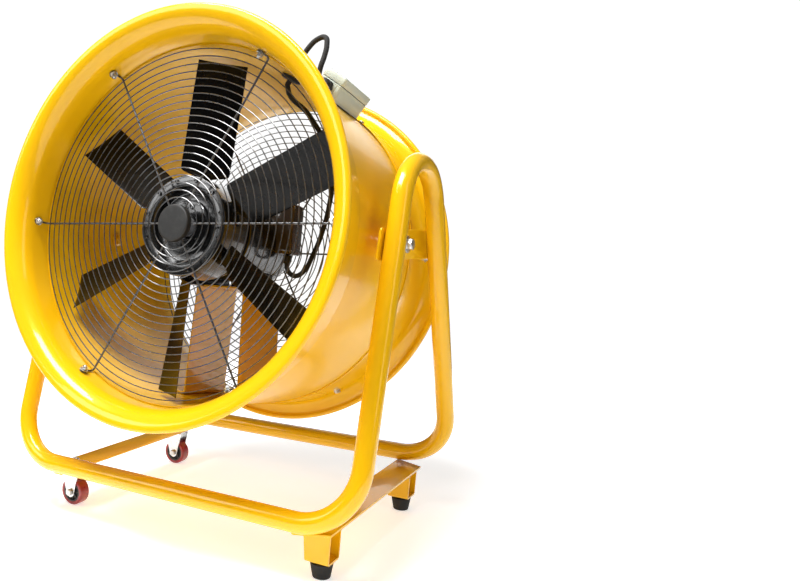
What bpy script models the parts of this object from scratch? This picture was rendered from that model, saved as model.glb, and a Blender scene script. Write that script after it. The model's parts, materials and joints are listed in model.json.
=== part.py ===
"""Portable axial blower: a tilting duct fan on a wheeled tube stand, built as separate named parts.

World frame: metres, +Z up, front opening towards -Y, floor at z = 0.
Drum frame (parts under the tilting duct): +Y along the duct axis to the rear, origin on the tilt axis.
"""
import math

import bmesh
import bpy
from mathutils import Matrix, Vector

# ---- duct ------------------------------------------------------------------------------------
DUCT_R = 0.3030            # inside radius of the 600 mm duct
DUCT_T = 0.0020            # sheet thickness of the duct
DUCT_FRONT = -0.1920
GAP = 0.0003               # clearance between touching pieces
BELL_T = 0.0020
BELL_LEN = 0.1190          # collar end to rim plane
RIM_FRONT = 0.2650         # tilt axis to the front rim plane
RIM_REAR = 0.2070          # tilt axis to the rear rim plane
DUCT_REAR = RIM_REAR - 0.0580
RIM_R = 0.3425             # outside radius of the rolled rim
BEAD_R = 0.0045
FLARE_FRONT = 0.0400
FLARE_REAR = 0.0280
ROUND = 48                 # segments of the large round pieces

# ---- guards ----------------------------------------------------------------------------------
GUARD_FRONT_Y = -0.1970
GUARD_REAR_Y = RIM_REAR - 0.0530
BOLT_FRONT_Y = -0.2205
BOLT_REAR_Y = RIM_REAR - 0.0345
GUARD_OUT_R = 0.2960
GUARD_DISC_R = 0.0314
GUARD_RINGS = 7
WIRE = 0.0040
TAB_R = 0.3018
TAB_T = 0.0025
BOLTS = 6

# ---- tilt and stand --------------------------------------------------------------------------
TILT = math.radians(8.4)   # front edge raised
PIVOT_Z = 0.5157
TUBE_R = 0.0165
TUBE_T = 0.0020
STAND_X = 0.3485           # centre plane of each pair of legs
RAIL_Y = 0.2280
RAIL_Z = 0.0985
LEG_Y = 0.1027             # leg to pivot distance at pivot height
LEG_SLOPE = 0.3000
HAIRPIN_TOP = PIVOT_Z + 0.1481
BEND_R = 0.0950
PLATE_H = 0.0500
PLATE_T = 0.0040
CROSS_T = 0.0040
CROSS_W = 0.0560
WHEEL_X = -0.2635
WHEEL_Y = 0.1640
FOOT_X = 0.2756
FOOT_Y = 0.1770
WHEEL_R = 0.0265
WHEEL_W = 0.0240
FOOT_H = 0.0245

# ---- impeller and motor ----------------------------------------------------------------------
BLADES = 6
BLADE_Y = -0.1390
BLADE_TIP = 0.2900
BLADE_START = math.radians(85.0)
PITCH_TIP = math.radians(-31.0)
PITCH_ROOT = math.radians(-42.0)
CHORD_TIP = 0.0850
CHORD_ROOT = 0.0900
SHANK_R = 0.0130
HUB_R = 0.0860
HUB_FRONT = -0.1780
HUB_REAR = -0.1040
SHAFT_R = 0.0120
MOTOR_R = 0.0780
MOTOR_FRONT = -0.0750
MOTOR_REAR = 0.0550
FEET_Z = -0.0912
CRADLE_FRONT = -0.0455
CRADLE_REAR = 0.0900

# ---- terminal box and cable ------------------------------------------------------------------
BOX_ANGLE = math.radians(55.3)
BOX_Y = RIM_REAR - BELL_LEN - 0.0808   # the box stays between the two bells
BOX_W = 0.0510
BOX_L = 0.1087
BOX_BASE_H = 0.0280
BOX_LID_H = 0.0150
BOX_R = 0.3056
BOX_WALL = 0.0030
EXIT_ANGLE = math.radians(64.0)
EXIT_Y = -0.0850
EXIT_HOLE = 0.0125
CABLE_R = 0.0045
GLAND_LEN = 0.0220

AXIS_Y = Vector((0.0, 1.0, 0.0))
AXIS_X = Vector((1.0, 0.0, 0.0))
AXIS_Z = Vector((0.0, 0.0, 1.0))


# ---- shared helpers --------------------------------------------------------------------------
def clear_scene():
    for obj in list(bpy.data.objects):
        bpy.data.objects.remove(obj, do_unlink=True)


def make_material(name, colour, metallic, roughness):
    mat = bpy.data.materials.new(name)
    mat.use_nodes = True
    shader = mat.node_tree.nodes["Principled BSDF"]
    shader.inputs["Base Color"].default_value = (*colour, 1.0)
    shader.inputs["Metallic"].default_value = metallic
    shader.inputs["Roughness"].default_value = roughness
    return mat


def add_empty(name, matrix, parent=None):
    obj = bpy.data.objects.new(name, None)
    bpy.context.scene.collection.objects.link(obj)
    obj.empty_display_size = 0.05
    obj.parent = parent
    obj.matrix_local = matrix
    return obj


def finish(name, bm, look, parent, smooth=35.0):
    """Turn a bmesh into a named object with its own material."""
    bmesh.ops.recalc_face_normals(bm, faces=bm.faces)
    mesh = bpy.data.meshes.new(name)
    bm.to_mesh(mesh)
    bm.free()
    obj = bpy.data.objects.new(name, mesh)
    bpy.context.scene.collection.objects.link(obj)
    if smooth:
        mesh.shade_smooth()
        mesh.set_sharp_from_angle(angle=math.radians(smooth))
    obj.parent = parent
    mesh.materials.append(make_material(name + "_mat", *look))
    return obj


def as_cutter(obj):
    obj.hide_render = True
    obj.display_type = 'WIRE'
    return obj


def add_boolean(obj, tool, operation):
    mod = obj.modifiers.new("bool_" + tool.name, 'BOOLEAN')
    mod.operation = operation
    mod.solver = 'EXACT'
    mod.object = tool


def axis_frame(axis):
    """Two unit vectors square to an axis."""
    side = AXIS_X if abs(axis.x) < 0.9 else AXIS_Z
    u = (side - axis * side.dot(axis)).normalized()
    return u, axis.cross(u)


def revolve_into(bm, profile, origin, axis, segments, closed=True):
    """Turn (radius, height) points about an axis. Open profiles start and end on the axis."""
    u, v = axis_frame(axis)
    rings = []
    for radius, height in profile:
        base = origin + axis * height
        if radius < 1e-9:
            rings.append([bm.verts.new(base)] * segments)
            continue
        ring = []
        for i in range(segments):
            a = 2.0 * math.pi * i / segments
            ring.append(bm.verts.new(base + (u * math.cos(a) + v * math.sin(a)) * radius))
        rings.append(ring)
    pairs = list(zip(rings, rings[1:]))
    if closed:
        pairs.append((rings[-1], rings[0]))
    for a, b in pairs:
        for i in range(segments):
            j = (i + 1) % segments
            corners = []
            for vert in (a[i], a[j], b[j], b[i]):
                if vert not in corners:
                    corners.append(vert)
            if len(corners) > 2:
                bm.faces.new(corners)


def revolve(name, profile, origin, axis, segments, look, parent, closed=True):
    bm = bmesh.new()
    revolve_into(bm, profile, origin, axis, segments, closed)
    return finish(name, bm, look, parent)


def cylinder_into(bm, start, end, radius, segments):
    axis = (end - start).normalized()
    length = (end - start).length
    profile = [(0.0, 0.0), (radius, 0.0), (radius, length), (0.0, length)]
    revolve_into(bm, profile, start, axis, segments, closed=False)


def prism(name, outline, place, look, parent, holes=(), smooth=35.0):
    """Extrude a flat outline: place(point, 0 or 1) gives the two ends."""
    bm = bmesh.new()
    ends = [[], []]
    for loop in [outline, *holes]:
        rows = [[bm.verts.new(place(p, k)) for p in loop] for k in (0, 1)]
        count = len(loop)
        for i in range(count):
            j = (i + 1) % count
            bm.faces.new((rows[0][i], rows[0][j], rows[1][j], rows[1][i]))
        for k in (0, 1):
            ends[k] += [bm.edges.get((rows[k][i], rows[k][(i + 1) % count])) for i in range(count)]
        if not holes:
            bm.faces.new(rows[0])
            bm.faces.new(rows[1])
    if holes:
        for edges in ends:
            bmesh.ops.triangle_fill(bm, use_beauty=True, edges=edges)
    return finish(name, bm, look, parent, smooth)


def block(name, low, high, look, parent):
    outline = [(low[0], low[1]), (high[0], low[1]), (high[0], high[1]), (low[0], high[1])]
    return prism(name, outline, lambda p, k: Vector((p[0], p[1], (low[2], high[2])[k])),
                 look, parent, smooth=0.0)


def loft_into(bm, sections):
    rows = [[bm.verts.new(p) for p in section] for section in sections]
    count = len(rows[0])
    for a, b in zip(rows, rows[1:]):
        for i in range(count):
            j = (i + 1) % count
            bm.faces.new((a[i], a[j], b[j], b[i]))
    bm.faces.new(rows[0])
    bm.faces.new(rows[-1])


def duct_point(radius, angle, y):
    return Vector((radius * math.cos(angle), y, radius * math.sin(angle)))


YELLOW = ((0.88, 0.48, 0.02), 0.0, 0.28)
BLACK_METAL = ((0.015, 0.015, 0.016), 0.0, 0.25)
BLACK_WIRE = ((0.02, 0.02, 0.02), 0.0, 0.35)
STEEL = ((0.62, 0.62, 0.60), 1.0, 0.30)
RUBBER = ((0.015, 0.015, 0.015), 0.0, 0.65)
RED_TREAD = ((0.42, 0.02, 0.015), 0.0, 0.35)
DARK_CORE = ((0.03, 0.03, 0.03), 0.0, 0.45)
GREY_BOX = ((0.46, 0.52, 0.44), 0.0, 0.40)
CORE_STEEL = ((0.35, 0.35, 0.36), 1.0, 0.50)


# ---- duct and bells --------------------------------------------------------------------------
def bell_profile(flare, rim):
    """(radius, distance from the tilt axis) round one bell, collar end first."""
    inner = DUCT_R + DUCT_T + GAP
    start = rim - flare
    lip = RIM_R - BEAD_R
    rise = lip - inner
    points = [(inner, rim - BELL_LEN)]
    for deg in (0, 24, 46, 68, 90):
        a = math.radians(deg)
        points.append((inner + rise * (1.0 - math.cos(a)), start + flare * math.sin(a)))
    for deg in (36, 0, -60, -120, -180):
        a = math.radians(deg)
        points.append((lip + BEAD_R * math.cos(a), rim - BEAD_R + BEAD_R * math.sin(a)))
    for deg in (74, 48, 24, 0):
        a = math.radians(deg)
        points.append((lip - (rise - BELL_T) * math.cos(a), start + (flare - BELL_T) * math.sin(a)))
    points.append((inner + BELL_T, rim - BELL_LEN))
    return points


def bolt_angles():
    return [2.0 * math.pi * i / BOLTS for i in range(BOLTS)]


def bolt_cutter(name, y, parent):
    """Six radial drills, used on both the bell and the guard tabs."""
    bm = bmesh.new()
    for angle in bolt_angles():
        cylinder_into(bm, duct_point(0.2920, angle, y), duct_point(0.3150, angle, y), 0.0033, 8)
    return as_cutter(finish(name, bm, STEEL, parent, 0.0))


def build_bell(name, side, flare, rim, parent, cutter):
    profile = [(r, side * h) for r, h in bell_profile(flare, rim)]
    bell = revolve(name, profile, Vector(), AXIS_Y, ROUND, YELLOW, parent)
    add_boolean(bell, cutter, 'DIFFERENCE')


def build_duct(parent):
    outer = DUCT_R + DUCT_T
    profile = [(DUCT_R, DUCT_FRONT), (outer, DUCT_FRONT), (outer, DUCT_REAR), (DUCT_R, DUCT_REAR)]
    shell = revolve("drum_shell", profile, Vector(), AXIS_Y, ROUND, YELLOW, parent)
    bm = bmesh.new()
    for side in (-1.0, 1.0):
        cylinder_into(bm, Vector((side * 0.29, 0, 0)), Vector((side * 0.32, 0, 0)), 0.0066, 12)
    cylinder_into(bm, duct_point(0.290, EXIT_ANGLE, EXIT_Y), duct_point(0.320, EXIT_ANGLE, EXIT_Y),
                  EXIT_HOLE, 16)
    add_boolean(shell, as_cutter(finish("drum_drill", bm, STEEL, parent, 0.0)), 'DIFFERENCE')


# ---- guards ----------------------------------------------------------------------------------
def guard_rows(plane, bolt_y):
    """Rows of (front radius, front y, back radius, back y, spoke half width, ring after this row)."""
    side = -1.0 if bolt_y < plane else 1.0
    out, back, disc = plane + side * WIRE / 2, plane - side * WIRE / 2, plane + side * 0.010
    rows = [(0.0, disc, 0.0, back, 0.0, True),
            (GUARD_DISC_R - 0.0015, disc, GUARD_DISC_R - 0.0015, back, 0.0025, True),
            (GUARD_DISC_R, out, GUARD_DISC_R, back, 0.0025, False)]
    pitch = (GUARD_OUT_R - WIRE / 2 - GUARD_DISC_R) / GUARD_RINGS
    for k in range(1, GUARD_RINGS + 1):
        centre = GUARD_DISC_R + pitch * k
        for r, ring in ((centre - WIRE / 2, True), (centre + WIRE / 2, False)):
            rows.append((r, out, r, back, 0.0025, ring))
    end = bolt_y + side * 0.0065
    rows.append((TAB_R, out, TAB_R + TAB_T, back, 0.0060, False))
    rows.append((TAB_R, end, TAB_R + TAB_T, end, 0.0060, False))
    return rows


def build_guard(name, plane, bolt_y, parent, cutter):
    """A grille made of ring cells and spoke cells, walled wherever a cell meets an opening."""
    rows = guard_rows(plane, bolt_y)
    split = 4
    per = split + 1
    columns = BOLTS * per
    ring_rows = len(rows) - 3
    bm = bmesh.new()
    verts = {}

    def vert(j, c, face):
        r, y = rows[j][2 * face], rows[j][2 * face + 1]
        key = (j, 0 if r == 0.0 else c % columns, face)
        if key not in verts:
            sector, step = divmod(c % columns, per)
            half = math.asin(min(1.0, rows[j][4] / r)) if r else 0.0
            span = 2.0 * math.pi / BOLTS
            angle = sector * span - half
            if step:
                angle = sector * span + half + (step - 1) * (span - 2.0 * half) / split
            verts[key] = bm.verts.new(duct_point(r, angle, y))
        return verts[key]

    def solid(j, c):
        if j < 0 or j > len(rows) - 2:
            return False
        if c % per == 0:
            return True
        return rows[j][5] and j < ring_rows + 1

    def face(corners):
        unique = []
        for v in corners:
            if v not in unique:
                unique.append(v)
        if len(unique) > 2:
            bm.faces.new(unique)

    for j in range(len(rows) - 1):
        for c in range(columns):
            if not solid(j, c):
                continue
            for f in (0, 1):
                face((vert(j, c, f), vert(j, c + 1, f), vert(j + 1, c + 1, f), vert(j + 1, c, f)))
            edges = (((j, c), (j + 1, c), (j, c - 1)), ((j, c + 1), (j + 1, c + 1), (j, c + 1)),
                     ((j, c), (j, c + 1), (j - 1, c)), ((j + 1, c), (j + 1, c + 1), (j + 1, c)))
            for a, b, neighbour in edges:
                if solid(neighbour[0], neighbour[1] % columns) or rows[a[0]][0] == rows[b[0]][0] == 0.0:
                    continue
                face((vert(*a, 0), vert(*b, 0), vert(*b, 1), vert(*a, 1)))
    guard = finish(name, bm, BLACK_WIRE, parent, 30.0)
    add_boolean(guard, cutter, 'DIFFERENCE')


def build_guard_bolts(name, y, parent):
    """Hex bolt, shank and inside nut as one turned piece, axis radial."""
    nut, shank, head = 0.0055, 0.0027, 0.0060
    outside = DUCT_R + DUCT_T + BELL_T + 2 * GAP + 0.0002
    profile = [(0.0, 0.2925), (0.0027, 0.2925), (0.0027, 0.2955), (nut, 0.2960), (nut, TAB_R - 0.0006),
               (shank, TAB_R - 0.0006), (shank, outside), (head, outside), (head, outside + 0.0040),
               (0.0045, outside + 0.0050), (0.0, outside + 0.0050)]
    for i, angle in enumerate(bolt_angles()):
        revolve("%s_%d" % (name, i + 1), profile, Vector((0, y, 0)), duct_point(1.0, angle, 0.0),
                6, STEEL, parent, closed=False)


# ---- impeller --------------------------------------------------------------------------------
def blade_sections(angle):
    radial = duct_point(1.0, angle, 0.0)
    tangent = Vector((-math.sin(angle), 0.0, math.cos(angle)))
    top = [(-0.50, 0.000), (-0.44, 0.030), (-0.22, 0.062), (0.06, 0.066), (0.30, 0.042), (0.50, 0.006)]
    low = [(0.50, -0.006), (0.30, 0.014), (0.06, 0.024), (-0.22, 0.016), (-0.44, -0.014), (-0.49, -0.010)]
    aero = top + low
    rounds = []
    for i in range(12):
        a = math.pi - 2.0 * math.pi * (i + 0.5) / 12.0 + math.pi / 12.0
        rounds.append((math.cos(a), math.sin(a)))
    sections = []
    stations = [(0.0540, 1.0), (0.0900, 1.0), (0.0960, 0.62), (0.1060, 0.12), (0.1150, 0.0),
                (0.1700, 0.0), (0.2300, 0.0), (BLADE_TIP, 0.0)]
    for radius, blend in stations:
        t = max(0.0, (radius - 0.1150) / (BLADE_TIP - 0.1150))
        pitch = PITCH_ROOT + (PITCH_TIP - PITCH_ROOT) * t
        chord = CHORD_ROOT + (CHORD_TIP - CHORD_ROOT) * t
        e1 = tangent * math.cos(pitch) + AXIS_Y * math.sin(pitch)
        e2 = tangent * -math.sin(pitch) + AXIS_Y * math.cos(pitch)
        section = []
        for flat, circle in zip(aero, rounds):
            x = flat[0] * chord * (1.0 - blend) + circle[0] * SHANK_R * blend
            z = (flat[1] - 0.025) * chord * (1.0 - blend) + circle[1] * SHANK_R * blend
            section.append(radial * radius + AXIS_Y * BLADE_Y + e1 * x + e2 * z)
        sections.append(section)
    return sections


def blade_angles():
    return [BLADE_START + 2.0 * math.pi * i / BLADES for i in range(BLADES)]


def build_impeller(parent):
    for i, angle in enumerate(blade_angles()):
        bm = bmesh.new()
        loft_into(bm, blade_sections(angle))
        finish("blade_%d" % (i + 1), bm, BLACK_METAL, parent, 40.0)
    bore = SHAFT_R + GAP
    front = [(bore, -0.1600), (0.0480, -0.1600), (0.0660, HUB_FRONT), (HUB_R - 0.002, HUB_FRONT),
             (HUB_R, HUB_FRONT + 0.002), (HUB_R, BLADE_Y - GAP / 2), (bore, BLADE_Y - GAP / 2)]
    rear = [(bore, BLADE_Y + GAP / 2), (HUB_R, BLADE_Y + GAP / 2), (HUB_R, HUB_REAR - 0.002),
            (HUB_R - 0.002, HUB_REAR), (0.0660, HUB_REAR), (0.0480, -0.1180), (bore, -0.1180)]
    bm = bmesh.new()
    for angle in blade_angles():
        start = duct_point(0.0530, angle, BLADE_Y)
        cylinder_into(bm, start, duct_point(0.1000, angle, BLADE_Y), SHANK_R + 0.0006, 12)
    sockets = as_cutter(finish("hub_sockets", bm, STEEL, parent, 0.0))
    for name, profile in (("hub_front", front), ("hub_rear", rear)):
        hub = revolve(name, profile, Vector(), AXIS_Y, 24, BLACK_METAL, parent)
        add_boolean(hub, sockets, 'DIFFERENCE')
    shaft = [(0.0, -0.1735), (0.0080, -0.1735), (0.0080, -0.1670), (0.0170, -0.1665), (0.0170, -0.1605),
             (SHAFT_R, -0.1605), (SHAFT_R, -0.0530), (0.0455, -0.0530), (0.0455, 0.0380),
             (SHAFT_R, 0.0380), (SHAFT_R, 0.0830), (0.0, 0.0830)]
    revolve("rotor_shaft", shaft, Vector(), AXIS_Y, 20, CORE_STEEL, parent, closed=False)


# ---- motor -----------------------------------------------------------------------------------
def arc_points(radius, start, end, steps):
    angles = [math.radians(start + (end - start) * i / steps) for i in range(steps + 1)]
    return [(radius * math.cos(a), radius * math.sin(a)) for a in angles]


def along_y(front, rear):
    return lambda p, k: Vector((p[0], (front, rear)[k], p[1]))


def build_motor(parent):
    outline = arc_points(MOTOR_R, -48.0, 228.0, 24)
    outline += [(-0.0620, -0.0800), (-0.0620, FEET_Z), (-0.0360, FEET_Z)]
    outline += arc_points(MOTOR_R, -117.0, -63.0, 5)
    outline += [(0.0360, FEET_Z), (0.0620, FEET_Z), (0.0620, -0.0800)]
    bore = arc_points(0.0705, 0.0, 345.0, 23)
    prism("motor_frame", outline, along_y(MOTOR_FRONT, MOTOR_REAR), BLACK_METAL, parent, holes=[bore])
    clear = SHAFT_R + 0.0006
    joint = MOTOR_FRONT - GAP
    front = [(clear, -0.0980), (0.0340, -0.0980), (0.0400, -0.0900), (0.0720, -0.0850),
             (MOTOR_R, -0.0800), (MOTOR_R, joint), (clear, joint)]
    revolve("motor_front_bell", front, Vector(), AXIS_Y, 24, BLACK_METAL, parent)
    joint = MOTOR_REAR + GAP
    rear = [(0.0, 0.1020), (0.0420, 0.1020), (0.0600, 0.0960), (0.0730, 0.0820), (MOTOR_R, 0.0660),
            (MOTOR_R, joint), (clear, joint), (clear, 0.0880), (0.0, 0.0880)]
    revolve("motor_rear_bell", rear, Vector(), AXIS_Y, 24, BLACK_METAL, parent, closed=False)
    stator = [(0.0462, -0.0580), (0.0700, -0.0580), (0.0700, 0.0430), (0.0462, 0.0430)]
    revolve("stator_core", stator, Vector(), AXIS_Y, 24, CORE_STEEL, parent)
    box = [(0.1080, -0.0200), (0.1080, 0.0700), (0.1050, 0.0730), (0.0450, 0.0730)]
    box += arc_points(MOTOR_R + 0.0006, 54.9, -14.8, 6)
    prism("motor_terminal_box", box, along_y(0.0100, 0.0530), BLACK_METAL, parent)
    gland = [(CABLE_R + 0.0004, 0.0), (0.0110, 0.0), (0.0110, 0.0060), (0.0095, 0.0065),
             (0.0080, 0.0130), (CABLE_R + 0.0004, 0.0130)]
    revolve("motor_cable_gland", gland, Vector((0.0920, 0.0320, -0.0203)), -AXIS_Z, 12, RUBBER, parent)


def build_cradle(parent):
    """One folded sheet: level web under the motor, two splayed legs, feet lying on the duct floor."""
    top = FEET_Z - GAP
    t = 0.0030
    reach = DUCT_R - 0.0010
    a, b = math.radians(-78.3), math.radians(-75.2)
    half = [(0.0480, top), (0.0495, top - 0.0015), (reach * math.cos(a) - 0.0005, (reach - t) * math.sin(a)),
            ((reach - t) * math.cos(b), (reach - t) * math.sin(b)), (reach * math.cos(b), reach * math.sin(b)),
            ((reach) * math.cos(a) - 0.0030, reach * math.sin(a) * 0.9995), (0.0463, top - t)]
    outline = half + [(-x, z) for x, z in reversed(half)]
    prism("motor_cradle", outline, along_y(CRADLE_FRONT, CRADLE_REAR), YELLOW, parent, smooth=0.0)


# ---- terminal box and cable ------------------------------------------------------------------
def box_place(across, along, height):
    radial = duct_point(1.0, BOX_ANGLE, 0.0)
    tangent = Vector((math.sin(BOX_ANGLE), 0.0, -math.cos(BOX_ANGLE)))
    return radial * (BOX_R + height) + tangent * across + AXIS_Y * (BOX_Y + along)


def build_tray(name, floor, mouth, parent, opening):
    """Open five-sided box with cut corners; floor and mouth are heights above the box foot."""
    bm = bmesh.new()
    wall = math.copysign(BOX_WALL, mouth - floor)
    loops = []
    for inset, height in ((0.0, floor), (0.0, mouth), (BOX_WALL, mouth), (BOX_WALL, floor + wall)):
        hw, hl, cut = BOX_W / 2 - inset, BOX_L / 2 - inset, 0.0045 - inset * 0.6
        corners = []
        for sx, sy, swap in ((1, 1, 0), (-1, 1, 1), (-1, -1, 0), (1, -1, 1)):
            pair = [(sx * hw, sy * (hl - cut)), (sx * (hw - cut), sy * hl)]
            corners += pair[::-1] if swap else pair
        loops.append([bm.verts.new(box_place(x, y, height)) for x, y in corners])
    count = len(loops[0])
    for a, b in zip(loops, loops[1:]):
        for i in range(count):
            j = (i + 1) % count
            bm.faces.new((a[i], a[j], b[j], b[i]))
    bm.faces.new(loops[0])
    bm.faces.new(loops[-1])
    tray = finish(name, bm, GREY_BOX, parent, 0.0)
    if opening:
        add_boolean(tray, opening, 'DIFFERENCE')


def build_terminal_box(parent):
    height = 0.0150
    bm = bmesh.new()
    for along in (-1.0, 1.0):
        start = box_place(0.0, along * (BOX_L / 2 - 0.006), height)
        cylinder_into(bm, start, box_place(0.0, along * (BOX_L / 2 + 0.004), height), 0.0066, 12)
    drill = as_cutter(finish("box_drill", bm, STEEL, parent, 0.0))
    build_tray("terminal_box_base", 0.0, BOX_BASE_H, parent, drill)
    build_tray("terminal_box_lid", BOX_BASE_H + GAP + BOX_LID_H, BOX_BASE_H + GAP, parent, None)
    bore = CABLE_R + 0.0004
    gland = [(bore, -0.0060), (0.0060, -0.0060), (0.0060, 0.0003), (0.0120, 0.0003), (0.0120, 0.0080),
             (0.0105, 0.0085), (0.0105, 0.0170), (0.0080, GLAND_LEN), (bore, GLAND_LEN)]
    start = box_place(0.0, -BOX_L / 2, height)
    revolve("box_cable_gland", gland, start, -AXIS_Y, 16, RUBBER, parent)
    plug = [(0.0, -0.0060)] + gland[1:-1] + [(0.0, GLAND_LEN)]
    start = box_place(0.0, BOX_L / 2, height)
    revolve("supply_gland", plug, start, AXIS_Y, 16, RUBBER, parent, closed=False)


def build_grommet(parent):
    radial = duct_point(1.0, EXIT_ANGLE, 0.0)
    bore = CABLE_R + 0.0004
    outer = DUCT_R + DUCT_T + 0.0005
    inner = DUCT_R - 0.0015
    hole = EXIT_HOLE - 0.0008
    profile = [(bore, inner - 0.0030), (0.0170, inner - 0.0030), (0.0180, inner), (hole, inner),
               (hole, outer), (0.0200, outer), (0.0190, outer + 0.0050), (0.0120, outer + 0.0100),
               (0.0085, outer + 0.0160), (bore, outer + 0.0160)]
    revolve("cable_grommet", profile, Vector((0.0, EXIT_Y, 0.0)), radial, 14, RUBBER, parent)


def smooth_path(points, count):
    """Evenly spaced points along a centripetal spline through the given ones."""
    dense = []
    padded = [points[0] * 2 - points[1]] + points + [points[-1] * 2 - points[-2]]
    for p0, p1, p2, p3 in zip(padded, padded[1:], padded[2:], padded[3:]):
        t1 = (p1 - p0).length ** 0.5
        t2 = t1 + (p2 - p1).length ** 0.5
        t3 = t2 + (p3 - p2).length ** 0.5
        for step in range(16):
            t = t1 + (t2 - t1) * step / 16.0
            a1 = p0 * ((t1 - t) / t1) + p1 * (t / t1)
            a2 = p1 * ((t2 - t) / (t2 - t1)) + p2 * ((t - t1) / (t2 - t1))
            a3 = p2 * ((t3 - t) / (t3 - t2)) + p3 * ((t - t2) / (t3 - t2))
            b1 = a1 * ((t2 - t) / t2) + a2 * (t / t2)
            b2 = a2 * ((t3 - t) / (t3 - t1)) + a3 * ((t - t1) / (t3 - t1))
            dense.append(b1 * ((t2 - t) / (t2 - t1)) + b2 * ((t - t1) / (t2 - t1)))
    dense.append(points[-1])
    lengths = [0.0]
    for a, b in zip(dense, dense[1:]):
        lengths.append(lengths[-1] + (b - a).length)
    result = []
    k = 0
    for i in range(count):
        want = lengths[-1] * i / (count - 1)
        while k < len(dense) - 2 and lengths[k + 1] < want:
            k += 1
        share = (want - lengths[k]) / max(1e-9, lengths[k + 1] - lengths[k])
        result.append(dense[k].lerp(dense[k + 1], share))
    return result


def cable_route():
    """Motor gland, down and up beside the motor, through the grommet, over and into the box gland."""
    box = BOX_ANGLE
    out = EXIT_ANGLE
    mouth = BOX_Y - BOX_L / 2
    height = BOX_R + 0.0150
    inside = [Vector(p) for p in (
        (0.0920, 0.0320, -0.0212), (0.0920, 0.0320, -0.0330), (0.0950, 0.0330, -0.0480),
        (0.1080, 0.0360, -0.0570), (0.1230, 0.0400, -0.0490), (0.1370, 0.0450, -0.0180),
        (0.1500, 0.0490, 0.0250), (0.1590, 0.0500, 0.0750), (0.1640, 0.0430, 0.1250),
        (0.1600, 0.0170, 0.1760), (0.1430, -0.0290, 0.2220))]
    wall = [duct_point(r, out, EXIT_Y) for r in (0.2860, 0.3000, 0.3160, 0.3300)]
    drift = mouth + 0.04715      # zero unless the box has moved with the rear rim
    loop = [duct_point(r, a, EXIT_Y - back + drift * share) for r, a, back, share in (
        (0.3560, out - 0.010, 0.001, 0.0), (0.3760, out - 0.036, 0.002, 0.1), (0.3830, out - 0.072, 0.004, 0.4),
        (0.3740, box + 0.052, 0.006, 0.7), (0.3560, box + 0.026, 0.008, 0.9), (0.3380, box + 0.008, 0.009, 1.0))]
    end = [duct_point(height + 0.0045, box, mouth - 0.0400), duct_point(height, box, mouth - 0.0290),
           duct_point(height, box, mouth - 0.0200), duct_point(height, box, mouth - 0.0100),
           duct_point(height, box, mouth + 0.0040)]
    return inside + wall + loop + end


def build_cable(parent):
    points = smooth_path(cable_route(), 46)
    curve = bpy.data.curves.new("motor_cable", 'CURVE')
    curve.dimensions = '3D'
    spline = curve.splines.new('POLY')
    spline.points.add(len(points) - 1)
    for target, point in zip(spline.points, points):
        target.co = (*point, 1.0)
    spline.use_smooth = True
    curve.bevel_depth = CABLE_R
    curve.bevel_resolution = 2
    curve.use_fill_caps = True
    obj = bpy.data.objects.new("motor_cable", curve)
    bpy.context.scene.collection.objects.link(obj)
    obj.parent = parent
    curve.materials.append(make_material("motor_cable_mat", *RUBBER))


# ---- stand -----------------------------------------------------------------------------------
def frame_path(side):
    """Centre line of one bent tube: hairpin top, leg, floor bend, rail, floor bend, leg, hairpin top."""
    slope = math.atan(LEG_SLOPE)
    top = HAIRPIN_TOP - TUBE_R
    norm = math.sqrt(1.0 + LEG_SLOPE ** 2)
    bend = (LEG_Y + LEG_SLOPE * (PIVOT_Z - top)) / (norm - LEG_SLOPE)
    half = []
    for i in range(5):
        a = (math.pi / 2 - slope) * i / 4.0
        half.append(Vector((STAND_X, side * bend * math.sin(a), top - bend + bend * math.cos(a))))
    half[0].y = side * GAP / 2
    up = Vector((0.0, -side * math.sin(slope), math.cos(slope)))
    corner = Vector((STAND_X, side * RAIL_Y, RAIL_Z))
    centre = corner - AXIS_X * BEND_R + up * BEND_R
    for i in range(6):
        a = math.pi / 2 * i / 5.0
        half.append(centre + AXIS_X * BEND_R * math.cos(a) - up * BEND_R * math.sin(a))
    mirrored = [Vector((-p.x, p.y, p.z)) for p in reversed(half)]
    return half + mirrored


def build_frame_tube(name, side):
    path = frame_path(side)
    sides = 10
    bm = bmesh.new()
    rows = []
    normal = AXIS_X.copy()
    last = None
    for i, point in enumerate(path):
        before = (point - path[i - 1]).normalized() if i else None
        after = (path[i + 1] - point).normalized() if i < len(path) - 1 else None
        if before is None or after is None:
            tangent = Vector((0.0, side * (1.0 if before is None else -1.0), 0.0))
            stretch = 1.0
        else:
            tangent = (before + after).normalized()
            stretch = 1.0 / max(0.5, tangent.dot(after))
        if last is not None:
            normal = last.rotation_difference(tangent) @ normal
        last = tangent
        normal = (normal - tangent * normal.dot(tangent)).normalized()
        other = tangent.cross(normal)
        inward = (after - before) if before is not None and after is not None else None
        ring = []
        for k in range(sides):
            a = 2.0 * math.pi * k / sides
            ring.append(normal * math.cos(a) + other * math.sin(a))
        if inward is not None and inward.length > 1e-6:
            inward = inward.normalized()
            ring = [d + inward * d.dot(inward) * (stretch - 1.0) for d in ring]
        rows.append([[bm.verts.new(point + d * r) for d in ring] for r in (TUBE_R, TUBE_R - TUBE_T)])
    for a, b in zip(rows, rows[1:]):
        for layer in (0, 1):
            for i in range(sides):
                j = (i + 1) % sides
                bm.faces.new((a[layer][i], a[layer][j], b[layer][j], b[layer][i]))
    for outer, inner in (rows[0], rows[-1]):
        for i in range(sides):
            j = (i + 1) % sides
            bm.faces.new((outer[i], outer[j], inner[j], inner[i]))
    finish(name, bm, YELLOW, STAND, 50.0)


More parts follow.
